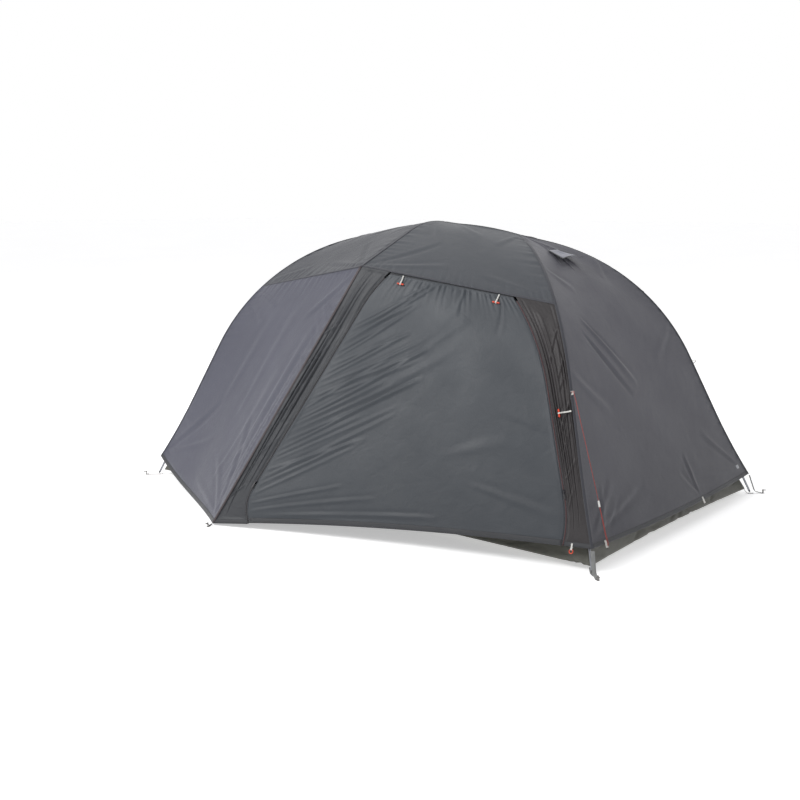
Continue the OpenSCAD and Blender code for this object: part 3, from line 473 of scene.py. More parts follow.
def skin(name, grid, thick, material, mirrored=False, keep=None):
    """A closed sheet on a grid of points, thick outwards."""
    nv, nu = grid.shape[0] - 1, grid.shape[1] - 1
    if keep is None:
        keep = np.ones((nv, nu), bool)
    top = grid + thick * normals(grid)
    n = (nu + 1) * (nv + 1)
    verts = np.concatenate([grid.reshape(-1, 3), top.reshape(-1, 3)])
    along = np.linalg.norm(np.diff(grid, axis=1), axis=2)
    rise = np.linalg.norm(np.diff(grid, axis=0), axis=2)
    us = np.concatenate([np.zeros((nv + 1, 1)), np.cumsum(along, axis=1)], axis=1)
    us -= us[:, nu // 2:nu // 2 + 1]
    vs = np.concatenate([np.zeros((1, nu + 1)), np.cumsum(rise, axis=0)], axis=0)
    vs = np.repeat(vs[:, nu // 2:nu // 2 + 1], nu + 1, axis=1)
    uv = np.stack([us, vs], axis=-1).reshape(-1, 2)
    faces = grid_faces(nu, nv, keep, 0, True) + grid_faces(nu, nv, keep, n)
    padded = np.zeros((nv + 2, nu + 2), bool)
    padded[1:-1, 1:-1] = keep
    for j in range(nv):
        for i in range(nu):
            if not keep[j, i]:
                continue
            a = j * (nu + 1) + i
            b, d, e = a + 1, a + nu + 1, a + nu + 2
            for out, p, q in ((padded[j, i + 1], a, b), (padded[j + 2, i + 1], e, d),
                              (padded[j + 1, i], d, a), (padded[j + 1, i + 2], b, e)):
                if not out:
                    faces.append((p, q, q + n, p + n))
    return link(name, verts, faces, np.concatenate([uv, uv]), material, mirrored=mirrored)


def frames_along(path, ups):
    """Unit vectors along, to the side and up at each point of a path."""
    along = unit(np.gradient(path, axis=0))
    side = unit(np.cross(along, ups))
    return along, side, np.cross(side, along)


def band(name, path, ups, width, thick, material, crown=0.0, lift=0.0, mirrored=False, offset=0.0):
    """A flat strip swept along a path, its width across the path and its thickness along ups."""
    _, side, up = frames_along(path, ups)
    across = np.linspace(-0.5, 0.5, 7)
    top = [(w * width, lift + thick + crown * (1 - (2 * w) ** 2)) for w in across]
    low = [(w * width, lift) for w in across[::-1]]
    return sweep_section(name, path, side, up, top + low, material, mirrored, offset)


def sweep_section(name, path, side, up, section, material, mirrored=False, offset=0.0):
    """A strip with the section [across, up] all along a path."""
    section = np.asarray(section, float)
    ring = (path[:, None, :] + (section[None, :, 0:1] + offset) * side[:, None, :]
            + section[None, :, 1:2] * up[:, None, :])
    uv = np.stack(np.broadcast_arrays(distance(section)[None, :], distance(path)[:, None]), axis=-1)
    return link(name, ring, ring_faces(len(path), len(section)), uv, material, mirrored=mirrored)


def resample(path, step):
    path = np.asarray(path, float)
    run = distance(path)
    at = np.linspace(0, run[-1], max(2, int(round(run[-1] / step))) + 1)
    return np.stack([np.interp(at, run, column) for column in path.T], axis=1)


def spline(points, per=12, closed=False):
    """Catmull-Rom curve through points."""
    p = np.asarray(points, float)
    out = []
    n = len(p)
    spans = n if closed else n - 1
    for i in range(spans):
        if closed:
            a, b, c, d = p[(i - 1) % n], p[i], p[(i + 1) % n], p[(i + 2) % n]
        else:
            a, b, c, d = p[max(i - 1, 0)], p[i], p[i + 1], p[min(i + 2, n - 1)]
        for k in range(per):
            t = k / per
            out.append(b + 0.5 * t * (c - a + t * (2 * a - 5 * b + 4 * c - d + t * (3 * (b - c) + d - a))))
    if not closed:
        out.append(p[-1])
    return np.array(out)


def tube(name, path, radius, material, sides=10, closed=False, mirrored=False, radii=None):
    """A round tube; the frame is carried along the path without twist."""
    path = np.asarray(path, float)
    n = len(path)
    if closed:
        along = unit(np.roll(path, -1, axis=0) - np.roll(path, 1, axis=0))
    else:
        along = unit(np.gradient(path, axis=0))
    start = unit(np.cross(along[0], vec(0.3, 0.2, 1.0)))
    side = [start]
    for i in range(1, n):
        s = side[-1] - along[i] * np.dot(side[-1], along[i])
        side.append(unit(s))
    side = np.array(side)
    if closed:
        drift = math.atan2(np.dot(np.cross(side[-1], side[0]), along[0]), np.dot(side[-1], side[0]))
        turn = (drift * np.arange(n) / n)[:, None]
        side = side * np.cos(turn) + np.cross(along, side) * np.sin(turn)
    up = np.cross(along, side)
    ang = np.arange(sides) * 2 * math.pi / sides
    r = (np.full(n, radius) if radii is None else np.asarray(radii))[:, None, None]
    ring = (path[:, None, :] + r * (np.cos(ang)[None, :, None] * side[:, None, :]
                                    + np.sin(ang)[None, :, None] * up[:, None, :]))
    uv = np.stack(np.broadcast_arrays((ang * radius)[None, :], distance(path)[:, None]), axis=-1)
    return link(name, ring, ring_faces(n, sides, closed), uv, material, mirrored=mirrored)


# ---- The guyline comes first: its route is the CAD model's own ----

GUY_ROUTE = vec((0.930, -0.508, 0.580), (0.944, -0.517, 0.560), (0.982, -0.530, 0.460),
                (1.019, -0.543, 0.362), (1.056, -0.556, 0.264), (1.076, -0.563, 0.210),
                (1.098, -0.571, 0.152), (1.112, -0.576, 0.114), (1.122, -0.579, 0.092),
                (1.1252, -0.5815, 0.0815), (1.1266, -0.585, 0.0769), (1.1268, -0.5886, 0.0815),
                (1.125, -0.5905, 0.092), (1.118, -0.5895, 0.112), (1.106, -0.584, 0.144),
                (1.091, -0.577, 0.184), (1.084, -0.575, 0.202))
GUY_R = 0.001
guy_path = spline(GUY_ROUTE, 8)
guy_data = bpy.data.curves.new("guyline_cord", "CURVE")
guy_data.dimensions = "3D"
guy_data.bevel_depth = GUY_R
guy_data.bevel_resolution = 3
guy_spline = guy_data.splines.new("POLY")
guy_spline.points.add(len(guy_path) - 1)
for point, p in zip(guy_spline.points, guy_path):
    point.co = (*[float(x) for x in p], 1)
guy_data.materials.append(RED_CORD)
guy_cord = bpy.data.objects.new("guyline_cord", guy_data)
scene.collection.objects.link(guy_cord)
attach(guy_cord, "tent")
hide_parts("guyline")


# ---- The frame's curves, as the CAD model has them, in metres ----

FLOOR_X, FLOOR_Y = 2.24, 1.36
HUB_X, HUB_Z, RIDGE_Z = 0.37, 1.09, 1.132
POLE_R = 0.00435
SLOPE = math.radians(63)
ELBOW_R = 0.9
BROW_X, BROW_REACH, BROW_R = -0.055, 0.484, 0.45
BROW_SLOPE = math.radians(23)
FLY_OFF = POLE_R + 0.0046
INNER_OFF = -POLE_R - 0.02
FLY_T = 0.0012
STAKE_X, STAKE_Y = -0.31, 1.085
CORNER_Z, FOOT_Z = 0.075, 0.014
TUB_H = 0.15
ZIP_SLOT = 0.009
BROW_RISE = 2 * POLE_R + 0.0012

RIDGE_R = (HUB_X ** 2 + (RIDGE_Z - HUB_Z) ** 2) / (2 * (RIDGE_Z - HUB_Z))
RIDGE_SLOPE = math.asin(HUB_X / RIDGE_R)
LEG_PLAN = vec(HUB_X - FLOOR_X / 2, -FLOOR_Y / 2)
LEG_REACH = float(np.linalg.norm(LEG_PLAN))
ELBOW_LEN = ELBOW_R * (SLOPE - RIDGE_SLOPE)
REST_S = LEG_REACH - ELBOW_R * (math.sin(SLOPE) - math.sin(RIDGE_SLOPE))
REST_Z = HUB_Z - FOOT_Z - ELBOW_R * (math.cos(RIDGE_SLOPE) - math.cos(SLOPE))
TURN = math.sin(SLOPE - RIDGE_SLOPE)
FOOT_LEN = (REST_Z * math.cos(RIDGE_SLOPE) - REST_S * math.sin(RIDGE_SLOPE)) / TURN
TOP_LEN = (REST_S * math.sin(SLOPE) - REST_Z * math.cos(SLOPE)) / TURN
LEG_LEN = FOOT_LEN + ELBOW_LEN + TOP_LEN


def ridge_point(x, off):
    x = np.asarray(x, float)
    return np.stack([x, 0 * x, RIDGE_Z - RIDGE_R + np.sqrt(RIDGE_R ** 2 - x * x) + off], axis=-1)


def leg_angle(d):
    return SLOPE - (SLOPE - RIDGE_SLOPE) * np.clip((d - FOOT_LEN) / ELBOW_LEN, 0, 1)


def leg_sz(d):
    d = np.asarray(d, float)
    a = leg_angle(d)
    foot = vec(0, FOOT_Z) + col(d) * vec(math.cos(SLOPE), math.sin(SLOPE))
    elbow = (vec(0, FOOT_Z) + FOOT_LEN * vec(math.cos(SLOPE), math.sin(SLOPE))
             + ELBOW_R * np.stack([math.sin(SLOPE) - np.sin(a), np.cos(a) - math.cos(SLOPE)], axis=-1))
    top = vec(LEG_REACH, HUB_Z) - col(LEG_LEN - d) * vec(math.cos(RIDGE_SLOPE), math.sin(RIDGE_SLOPE))
    return np.where(col(d < FOOT_LEN), foot, np.where(col(d < FOOT_LEN + ELBOW_LEN), elbow, top))


def leg_point(sx, sy, d, off):
    a = leg_angle(np.asarray(d, float))
    p = leg_sz(d) + col(off) * np.stack([-np.sin(a), np.cos(a)], axis=-1)
    q = vec(FLOOR_X, FLOOR_Y) / 2 + p[..., 0:1] * LEG_PLAN / LEG_REACH
    return np.stack([sx * q[..., 0], sy * q[..., 1], p[..., 1]], axis=-1)


BROW_Z = float(ridge_point(BROW_X, 0)[2]) + BROW_RISE
BEND_Y = BROW_R * math.sin(BROW_SLOPE)
BEND_DROP = BROW_R * (1 - math.cos(BROW_SLOPE))


def brow_point(y, off):
    y = np.asarray(y, float)
    inside = np.sqrt(np.maximum(BROW_R ** 2 - y * y, 0)) - BROW_R
    arm = -BEND_DROP - (np.abs(y) - BEND_Y) * math.tan(BROW_SLOPE)
    z = BROW_Z + off + np.where(np.abs(y) < BEND_Y, inside, arm)
    return np.stack([BROW_X + 0 * y, y, z], axis=-1)


# ---- The fly's curves, front side ----

CORNER_D = (CORNER_Z - FOOT_Z) / math.sin(SLOPE)
SEAM_D = FOOT_LEN + 0.33
HUB_END_D = LEG_LEN - 0.003
FLARE, FLARE_D = 0.026, 0.38


def fly_leg(sx, d):
    d = np.asarray(d, float)
    return leg_point(sx, -1, d, FLY_OFF + FLARE * np.maximum(0, 1 - d / FLARE_D) ** 2)


def fly_ridge(x):
    x = np.asarray(x, float)
    return ridge_point(x, FLY_OFF + BROW_RISE * np.maximum(0, 1 - np.abs(x - BROW_X) / 0.15) ** 2)


def fly_brow(y):
    return brow_point(y, FLY_OFF)


BROW_TIP = -BROW_REACH - 0.010
BROW_END = fly_brow(BROW_TIP)
VESTIBULE = vec(STAKE_X, -STAKE_Y, 0.008)
HEM_BOW, HEM_LIFT = 0.030, 0.93


def hem_right(t):
    t = np.asarray(t, float)
    c = fly_leg(1, CORNER_D)
    p = mix(VESTIBULE, c, t)
    z = (VESTIBULE[2] + (c[2] * HEM_LIFT - VESTIBULE[2]) * (1 - (1 - t) ** 2)
         + c[2] * (1 - HEM_LIFT) * t ** 6)
    return np.stack([p[..., 0], p[..., 1] + HEM_BOW * 4 * t * (1 - t), z], axis=-1)


def hem_left(t):
    t = np.asarray(t, float)
    c = fly_leg(-1, CORNER_D)
    p = mix(c, VESTIBULE, t)
    bow = HEM_BOW * 2 * t * (1 - t)
    z = c[2] + (VESTIBULE[2] - c[2]) * (1 - (1 - t) ** 4)
    return np.stack([p[..., 0] + bow, p[..., 1] + bow, z], axis=-1)


SEAM_RIGHT_END = fly_leg(1, SEAM_D)
SEAM_LEFT_END = fly_leg(-1, SEAM_D)


def seam_right(t):
    return mix(BROW_END, SEAM_RIGHT_END, t)


def seam_left(t):
    return mix(SEAM_LEFT_END, BROW_END, t)


def tension_edge(t):
    return mix(VESTIBULE, BROW_END, t)


BASE_LEFT, AIM_LEFT, FOOT_LEFT, HEAD_LEFT = 0.0526, 0.126, 0.1025, 0.165
FOOT_BEND_LEFT, HEAD_BEND_LEFT = 0.14, 0.86
BASE_RIGHT, FOOT_RIGHT, HEAD_RIGHT = 0.953, 0.93, 0.8
FOOT_BEND_RIGHT, STRAIGHT, PLACKET = 0.18, 0.6, 0.087


def ease(t):
    return col(np.maximum(0, t) ** 2)


def zip_run_left(v):
    return mix(hem_right(BASE_LEFT), seam_right(AIM_LEFT), v)


def zip_left(v):
    v = np.asarray(v, float)
    return (zip_run_left(v) + ease(1 - v / FOOT_BEND_LEFT) * (hem_right(FOOT_LEFT) - zip_run_left(0))
            + ease((v - HEAD_BEND_LEFT) / (1 - HEAD_BEND_LEFT)) * (seam_right(HEAD_LEFT) - zip_run_left(1)))


KNEE = fly_leg(1, FOOT_LEN - 0.020) - PLACKET * unit(fly_leg(1, FOOT_LEN) - tension_edge(0.62))
STEER = KNEE + 0.36 * (KNEE - hem_right(BASE_RIGHT))


def zip_run_right(v):
    return mix(hem_right(BASE_RIGHT), KNEE, np.asarray(v, float) / STRAIGHT)


def zip_right(v):
    v = np.asarray(v, float)
    low = zip_run_right(v) + ease(1 - v / FOOT_BEND_RIGHT) * (hem_right(FOOT_RIGHT) - zip_run_right(0))
    t = np.clip((v - STRAIGHT) / (1 - STRAIGHT), 0, 1)
    a = mix(KNEE, STEER, t)
    b = mix(STEER, seam_right(HEAD_RIGHT), t)
    return np.where(col(v < STRAIGHT), low, a + (b - a) * col(t))


def across(v):
    return unit(zip_right(v) - zip_left(v))


def pinned(f, a, b):
    """The curve f with its ends moved to a and b."""
    f0, f1 = f(0.0), f(1.0)
    return lambda t: f(t) + col(1 - np.asarray(t, float)) * (a - f0) + col(t) * (b - f1)


def patch(c0, c1, d0, d1, k):
    """A surface between the edges c0 (low), c1 (high), d0 (left) and d1 (right); a higher k keeps
    the side edges' shapes nearer to them."""
    low, high = pinned(c0, d0(0.0), d1(0.0)), pinned(c1, d0(1.0), d1(1.0))
    a0, a1, b0, b1 = d0(0.0), d0(1.0), d1(0.0), d1(1.0)

    def at(u, v):
        lo, hi = low(u), high(u)
        return (lo + (hi - lo) * col(v) + col((1 - u) ** k) * (d0(v) - mix(a0, a1, v))
                + col(u ** k) * (d1(v) - mix(b0, b1, v)))

    return at


def sagged(f, depth, direction):
    push = unit(vec(*direction))
    return lambda u, v: f(u, v) + col(depth * 16 * u * (1 - u) * v * (1 - v)) * push


def part_of(f, u0, u1, v0, v1):
    return lambda u, v: f(u0 + (u1 - u0) * u, v0 + (v1 - v0) * v)


def line(a, b, f):
    """The part of the curve f from a to b."""
    return lambda t: f(a + (b - a) * np.asarray(t, float))


roof_right = patch(seam_right, line(BROW_X, HUB_X, fly_ridge), line(BROW_TIP, 0, fly_brow),
                   lambda t: fly_leg(1, SEAM_D + (HUB_END_D - SEAM_D) * np.asarray(t, float)), 1)
roof_left = patch(seam_left, line(-HUB_X, BROW_X, fly_ridge),
                  lambda t: fly_leg(-1, SEAM_D + (HUB_END_D - SEAM_D) * np.asarray(t, float)),
                  line(BROW_TIP, 0, fly_brow), 1)
END_DIP = 0.012


def across_end(d, t):
    p = fly_leg(1, d)
    t = np.asarray(t, float)
    return np.stack([p[..., 0] + 0 * t, p[..., 1] * (1 - 2 * t), p[..., 2] + 0 * t], axis=-1)


def end_d(t):
    return CORNER_D + (HUB_END_D - CORNER_D) * np.asarray(t, float)


def end_hem(t):
    t = np.asarray(t, float)
    return across_end(CORNER_D, t) + col(END_DIP * 4 * t * (1 - t)) * vec(1, 0, -1)


fly_end = sagged(patch(end_hem, lambda t: across_end(HUB_END_D, t),
                       lambda t: across_end(end_d(t), 0.0 * t),
                       lambda t: across_end(end_d(t), 1.0 + 0.0 * t), 1), 0.016, (-0.9, 0, -0.45))


def leg_edge(sx):
    return lambda t: fly_leg(sx, CORNER_D + (SEAM_D - CORNER_D) * np.asarray(t, float))


fly_side = sagged(patch(hem_left, seam_left, leg_edge(-1), tension_edge, 1.5), 0.012, (0.4, 1, -0.5))


def beside(f, k):
    """The line beside the zip f at the distance k, square to its run."""
    def at(v):
        v = np.asarray(v, float)
        run = unit(f(np.minimum(v + 0.01, 1)) - f(np.maximum(v - 0.01, 0)))
        a = across(v)
        return f(v) + k * unit(a - np.sum(a * run, axis=-1, keepdims=True) * run)

    return at


fly_gusset = patch(line(0, FOOT_LEFT, hem_right), line(0, HEAD_LEFT, seam_right), tension_edge,
                   beside(zip_left, -ZIP_SLOT / 2), 1)
fly_placket = patch(line(FOOT_RIGHT, 1, hem_right), line(HEAD_RIGHT, 1, seam_right),
                    beside(zip_right, ZIP_SLOT / 2), leg_edge(1), 1)
door = patch(line(FOOT_LEFT, FOOT_RIGHT, hem_right), line(HEAD_LEFT, HEAD_RIGHT, seam_right),
             beside(zip_left, ZIP_SLOT / 2), beside(zip_right, -ZIP_SLOT / 2), 1)


# ---- Wrinkles: each is a line in a panel's own (u, v), with a width and a height in metres ----

def crease(U, V, size, start, end, width, height, bend=0.0, sharp=1.0):
    """A fold from start to end, tapered at both ends, bowed by bend."""
    w, h = size
    x, y = U * w, V * h
    a, b = vec(start[0] * w, start[1] * h), vec(end[0] * w, end[1] * h)
    d = b - a
    length = np.linalg.norm(d)
    d = d / length
    t = ((x - a[0]) * d[0] + (y - a[1]) * d[1]) / length
    s = -(x - a[0]) * d[1] + (y - a[1]) * d[0] - bend * 4 * np.clip(t, 0, 1) * (1 - np.clip(t, 0, 1))
    taper = np.clip(t, 0, 1) * np.clip(1 - t, 0, 1) * 4
    spread = width * (0.55 + 0.6 * np.clip(t, 0, 1))
    q = s / spread
    return height * np.maximum(taper, 0) ** 0.7 * (np.exp(-q * q) - 0.45 * np.exp(-(q - 1.5) ** 2) * sharp)


def folds(U, V, size, creases):
    total = 0 * U
    for c in creases:
        total = total + crease(U, V, size, *c)
    return total


def puckers(U, V, size, edge, seed, depth=0.0022, reach=0.045, pitch=0.035):
    """Small gathers that fade away from a sewn edge: 'l', 'r', 'b' or 't'."""
    w, h = size
    near = {"l": U * w, "r": (1 - U) * w, "b": V * h, "t": (1 - V) * h}[edge]
    run = V * h if edge in "lr" else U * w
    rng = np.random.default_rng(seed)
    total = 0 * U
    for _ in range(4):
        p = pitch * rng.uniform(0.7, 1.9)
        total = total + np.sin(2 * math.pi * run / p + rng.uniform(0, 6.28) + near * rng.uniform(-12, 12))
    return depth * 0.5 * total * np.exp(-near / reach) * np.minimum(near / 0.006, 1)


def panel(name, f, cells, material, disp, body, node, mirrored=False, thick=0.0009,
          keep=None, area=None):
    """A cloth panel on the surface f with its wrinkles."""
    U, V = uv_grid(*cells)
    grid = f(U, V)
    if disp is not None:
        grid = grid + col(disp(U, V)) * normals(grid)
    obj = skin(name, grid, thick, material, mirrored, keep)
    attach(obj, body)
    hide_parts(node)
    return obj


def panel_area(f, cells=(40, 40)):
    U, V = uv_grid(*cells)
    g = f(U, V)
    a = g[1:, 1:] - g[:-1, :-1]
    b = g[1:, :-1] - g[:-1, 1:]
    return float(np.sum(np.linalg.norm(np.cross(a, b), axis=2)) / 2)


def span(f):
    """The greatest width and height of a surface."""
    U, V = uv_grid(40, 40)
    g = f(U, V)
    w = np.sum(np.linalg.norm(np.diff(g, axis=1), axis=2), axis=1).max()
    h = np.sum(np.linalg.norm(np.diff(g, axis=0), axis=2), axis=0).max()
    return float(w), float(h)


# ---- Fly panels; a crease is (start, end, width, height, bend) ----

CELL, FINE_CELL = 0.0085, 0.0062


def cells(f, cell=CELL):
    w, h = span(f)
    return int(round(w / cell)), int(round(h / cell))


def raked(seed, count, low, high, start, reach, rise, width, height):
    """Creases that leave one edge side by side, from v = low to v = high, and climb by rise."""
    rng = np.random.default_rng(seed)
    out = []
    for k in range(count):
        v = low + (high - low) * (k + 0.5 + rng.uniform(-0.3, 0.3)) / count
        far = start + (reach - start) * rng.uniform(0.45, 1.0)
        climb = rise * abs(far - start) / abs(reach - start) * rng.uniform(0.7, 1.25)
        out.append(((start, v), (far, v + climb), width * rng.uniform(0.7, 1.3),
                    height * rng.uniform(0.6, 1.2), rng.uniform(-0.004, 0.008)))
    return out


def lengthwise(seed, count, width, height):
    """Creases that run from the foot towards the head of a narrow band."""
    rng = np.random.default_rng(seed)
    out = []
    for k in range(count):
        u = (k + 0.5) / count
        a, b = rng.uniform(0.0, 0.35), rng.uniform(0.75, 1.1)
        out.append(((u + rng.uniform(-0.12, 0.12), a), (u + rng.uniform(-0.2, 0.2), b),
                    width * rng.uniform(0.7, 1.3), height * rng.uniform(0.7, 1.2) * (-1) ** k,
                    rng.uniform(-0.006, 0.006)))
    return out


DOOR_CREASES = raked(3, 24, 0.10, 0.80, 0.0, 0.52, 0.33, 0.0085, 0.0042) + [
    ((0.0, 0.045), (0.42, 0.115), 0.009, 0.0038, 0.004), ((0.0, 0.075), (0.30, 0.16), 0.008, 0.0034, 0.0),
    ((0.06, 0.030), (0.62, 0.055), 0.010, 0.0034, 0.003), ((0.30, 0.55), (0.62, 0.74), 0.026, 0.0026, 0.0),
    ((0.42, 0.70), (0.66, 0.86), 0.022, 0.0024, 0.004), ((0.60, 0.30), (0.84, 0.38), 0.030, 0.0020, 0.0),
    ((0.90, 1.00), (0.80, 0.80), 0.014, -0.0022, 0.008), ((0.62, 1.00), (0.57, 0.86), 0.016, 0.0020, 0.0),
    ((0.70, 0.20), (0.98, 0.10), 0.020, 0.0024, 0.004), ((0.99, 0.42), (0.80, 0.50), 0.020, 0.0018, -0.004),
]
SIDE_CREASES = raked(4, 26, 0.16, 0.80, 0.99, 0.80, 0.10, 0.0065, 0.0026) + [
    ((0.93, 0.04), (0.955, 0.60), 0.013, 0.0036, 0.0), ((0.86, 0.08), (0.90, 0.80), 0.022, -0.0036, 0.006),
    ((0.78, 0.12), (0.84, 0.75), 0.024, 0.0040, -0.008), ((0.66, 0.10), (0.74, 0.60), 0.030, 0.0034, 0.0),
    ((0.03, 0.95), (0.34, 0.86), 0.014, 0.0042, 0.004), ((0.02, 0.88), (0.26, 0.78), 0.016, -0.0040, 0.0),
    ((0.98, 0.02), (0.55, 0.20), 0.018, 0.0048, 0.0), ((0.97, 0.03), (0.70, 0.40), 0.020, -0.0044, 0.0),
    ((0.99, 0.02), (0.45, 0.07), 0.014, 0.0040, 0.0), ((0.02, 0.05), (0.40, 0.24), 0.018, 0.0040, 0.004),
    ((0.01, 0.04), (0.30, 0.40), 0.020, -0.0036, 0.0), ((0.30, 0.40), (0.40, 0.85), 0.034, 0.0030, 0.010),
    ((0.52, 0.35), (0.60, 0.88), 0.034, 0.0030, 0.006), ((0.97, 0.98), (0.70, 0.80), 0.018, 0.0040, 0.0),
]
END_CREASES = [
    ((0.20, 0.57), (0.50, 0.36), 0.014, 0.0066, 0.006), ((0.17, 0.53), (0.44, 0.33), 0.013, -0.0050, 0.004),
    ((0.02, 0.42), (0.26, 0.30), 0.020, 0.0040, 0.0), ((0.50, 0.97), (0.34, 0.78), 0.014, 0.0044, 0.004),
    ((0.50, 0.97), (0.46, 0.74), 0.012, -0.0040, 0.0), ((0.52, 0.97), (0.58, 0.74), 0.012, 0.0042, 0.0),
    ((0.50, 0.97), (0.70, 0.80), 0.014, -0.0040, 0.004), ((0.02, 0.03), (0.16, 0.14), 0.016, 0.0030, 0.0),
    ((0.02, 0.02), (0.34, 0.10), 0.016, -0.0040, 0.0), ((0.98, 0.03), (0.82, 0.18), 0.016, 0.0034, 0.0),
    ((0.98, 0.02), (0.62, 0.09), 0.016, 0.0026, 0.0), ((0.64, 0.02), (0.65, 0.14), 0.012, 0.0034, 0.0),
    ((0.64, 0.02), (0.58, 0.10), 0.012, -0.0026, 0.0), ((0.98, 0.50), (0.72, 0.42), 0.020, 0.0028, 0.0),
    ((0.04, 0.75), (0.30, 0.66), 0.020, 0.0034, 0.004), ((0.96, 0.78), (0.74, 0.70), 0.020, 0.0030, 0.0),
    ((0.07, 0.02), (0.10, 0.14), 0.012, 0.0026, 0.0), ((0.09, 0.02), (0.18, 0.09), 0.012, -0.0022, 0.0),
]
ROOF_CREASES = [
    ((0.02, 0.04), (0.45, 0.20), 0.016, 0.0034, 0.0), ((0.02, 0.06), (0.34, 0.50), 0.018, -0.0030, 0.0),
    ((0.97, 0.05), (0.62, 0.16), 0.016, 0.0030, 0.0), ((0.30, 0.95), (0.60, 0.70), 0.022, 0.0026, 0.004),
    ((0.96, 0.94), (0.70, 0.60), 0.018, 0.0030, 0.0), ((0.04, 0.95), (0.22, 0.60), 0.018, -0.0026, 0.0),
]
GUSSET_CREASES = lengthwise(5, 7, 0.0065, 0.0044) + raked(6, 9, 0.05, 0.75, 0.0, 0.9, 0.10, 0.008, 0.0026)
PLACKET_CREASES = (lengthwise(7, 8, 0.0060, 0.0048)
                   + raked(8, 4, 0.55, 0.95, 0.98, 0.05, -0.22, 0.007, 0.0034)
                   + raked(9, 4, 0.04, 0.5, 0.02, 0.9, 0.16, 0.007, 0.0026))


def edge_fade(U, V, size, hem, seam=0.005, reach=0.014):
    """0 under the seams and the hem of a panel, 1 a little way in."""
    w, h = size
    near = np.minimum(np.minimum(U * w, (1 - U) * w) - seam, np.minimum(V * h - hem, (1 - V) * h - seam))
    return smooth(near / reach)


def relief(size, creases, edges, seed, gain=1.0, hem=0.0, soft=0.002):
    """A panel's wrinkles as a function of (u, v)."""
    rng = np.random.default_rng(seed)
    waves = [(rng.uniform(2, 7), rng.uniform(2, 7), rng.uniform(0, 6.28)) for _ in range(5)]

    def at(U, V):
        w, h = size
        total = gain * folds(U, V, size, creases)
        for a, b, c in waves:
            total = total + soft * 0.4 * np.sin(a * U * w * 2.2 + b * V * h * 1.7 + c)
        for k, edge in enumerate(edges):
            total = total + puckers(U, V, size, edge, seed + k)
        return total * edge_fade(U, V, size, hem)

    return at


def cloth(name, f, material, creases, edges, seed, node, body="tent",
          mirrored=False, gain=1.0, hem=0.0, cell=CELL):
    size = span(f)
    obj = panel(name, f, cells(f, cell), material, relief(size, creases, edges, seed, gain, hem), body, node,
                mirrored, area=min(panel_area(f), size[0] * size[1]))
    return obj


def other_end(f):
    """The surface f of the right end, mirrored to the left end."""
    return lambda u, v: f(1 - u, v) * vec(-1, 1, 1)


def turned(creases):
    """The same creases, mirrored end to end."""
    return [((1 - a[0], a[1]), (1 - b[0], b[1]), *rest) for a, b, *rest in creases]


end_left = other_end(fly_end)
DOOR_GAP, HEM_W, DOOR_HEM_W = 0.003, 0.016, 0.020
door_cloth = part_of(door, 0, 1, 0, 1 - DOOR_GAP / span(door)[1])
SIDES = ((False, "front"), (True, "back"))
for back, side in SIDES:
    shift = 100 if back else 0
    cloth(f"fly_{side}_roof_right", roof_right, FLY_ROOF_SHADED, ROOF_CREASES, "blr", 11 + shift,
          f"fly_roof_{side}_right", mirrored=back)
    cloth(f"fly_{side}_roof_left", roof_left, FLY_ROOF_LEFT_SHADED, turned(ROOF_CREASES), "blr", 12 + shift,
          f"fly_roof_{side}_left", mirrored=back)
    cloth(f"fly_{side}_side_panel", fly_side, FLY, SIDE_CREASES, "trl", 13 + shift, f"fly_side_{side}",
          mirrored=back, hem=HEM_W)
    cloth(f"fly_{side}_gusset", fly_gusset, BAND_SHADED, GUSSET_CREASES, "", 14 + shift, f"fly_gusset_{side}",
          mirrored=back, hem=HEM_W, cell=FINE_CELL / 2)
    cloth(f"fly_{side}_placket", fly_placket, PLACKET_SHADED_CLOTH, PLACKET_CREASES, "", 15 + shift,
          f"fly_placket_{side}", mirrored=back, hem=HEM_W,
          cell=FINE_CELL / 2)
    cloth(f"{side}_door_cloth", door_cloth, DOOR_SHADED, DOOR_CREASES, "t", 16 + shift, f"door_{side}",
          body=f"door_{side}", mirrored=back, hem=DOOR_HEM_W,
          cell=FINE_CELL)
cloth("fly_right_end", fly_end, FLY_END_PAINTED_LIGHT, END_CREASES, "r", 17, "fly_end_right",
      hem=HEM_W)
cloth("fly_left_end", end_left, FLY_END_PAINTED_LIGHT, turned(END_CREASES), "l", 18, "fly_end_left",
      hem=HEM_W)


# ---- Seams and hems ----

def out_of(f, u, v):
    """Unit normals of a surface at points (u, v), outwards."""
    e = 1e-3
    u, v = np.asarray(u, float), np.asarray(v, float)
    u0, u1 = np.clip(u - e, 0, 1), np.clip(u + e, 0, 1)
    v0, v1 = np.clip(v - e, 0, 1), np.clip(v + e, 0, 1)
    return unit(np.cross(f(u1, v) - f(u0, v), f(u, v1) - f(u, v0)))


def seam_band(name, path, ups, width, material, body="tent", thick=0.0009, crown=0.0006, lift=0.0008,
              mirrored=False, offset=0.0, stitches=True):
    obj = band(name, path, ups, width, thick, material, crown, lift, mirrored, offset)
    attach(obj, body)
    if stitches:
        thread = dashes(name + "_stitches", path, ups, width * 0.36, lift + thick + 0.3 * crown, mirrored,
                        offset)
        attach(thread, body)
    return obj


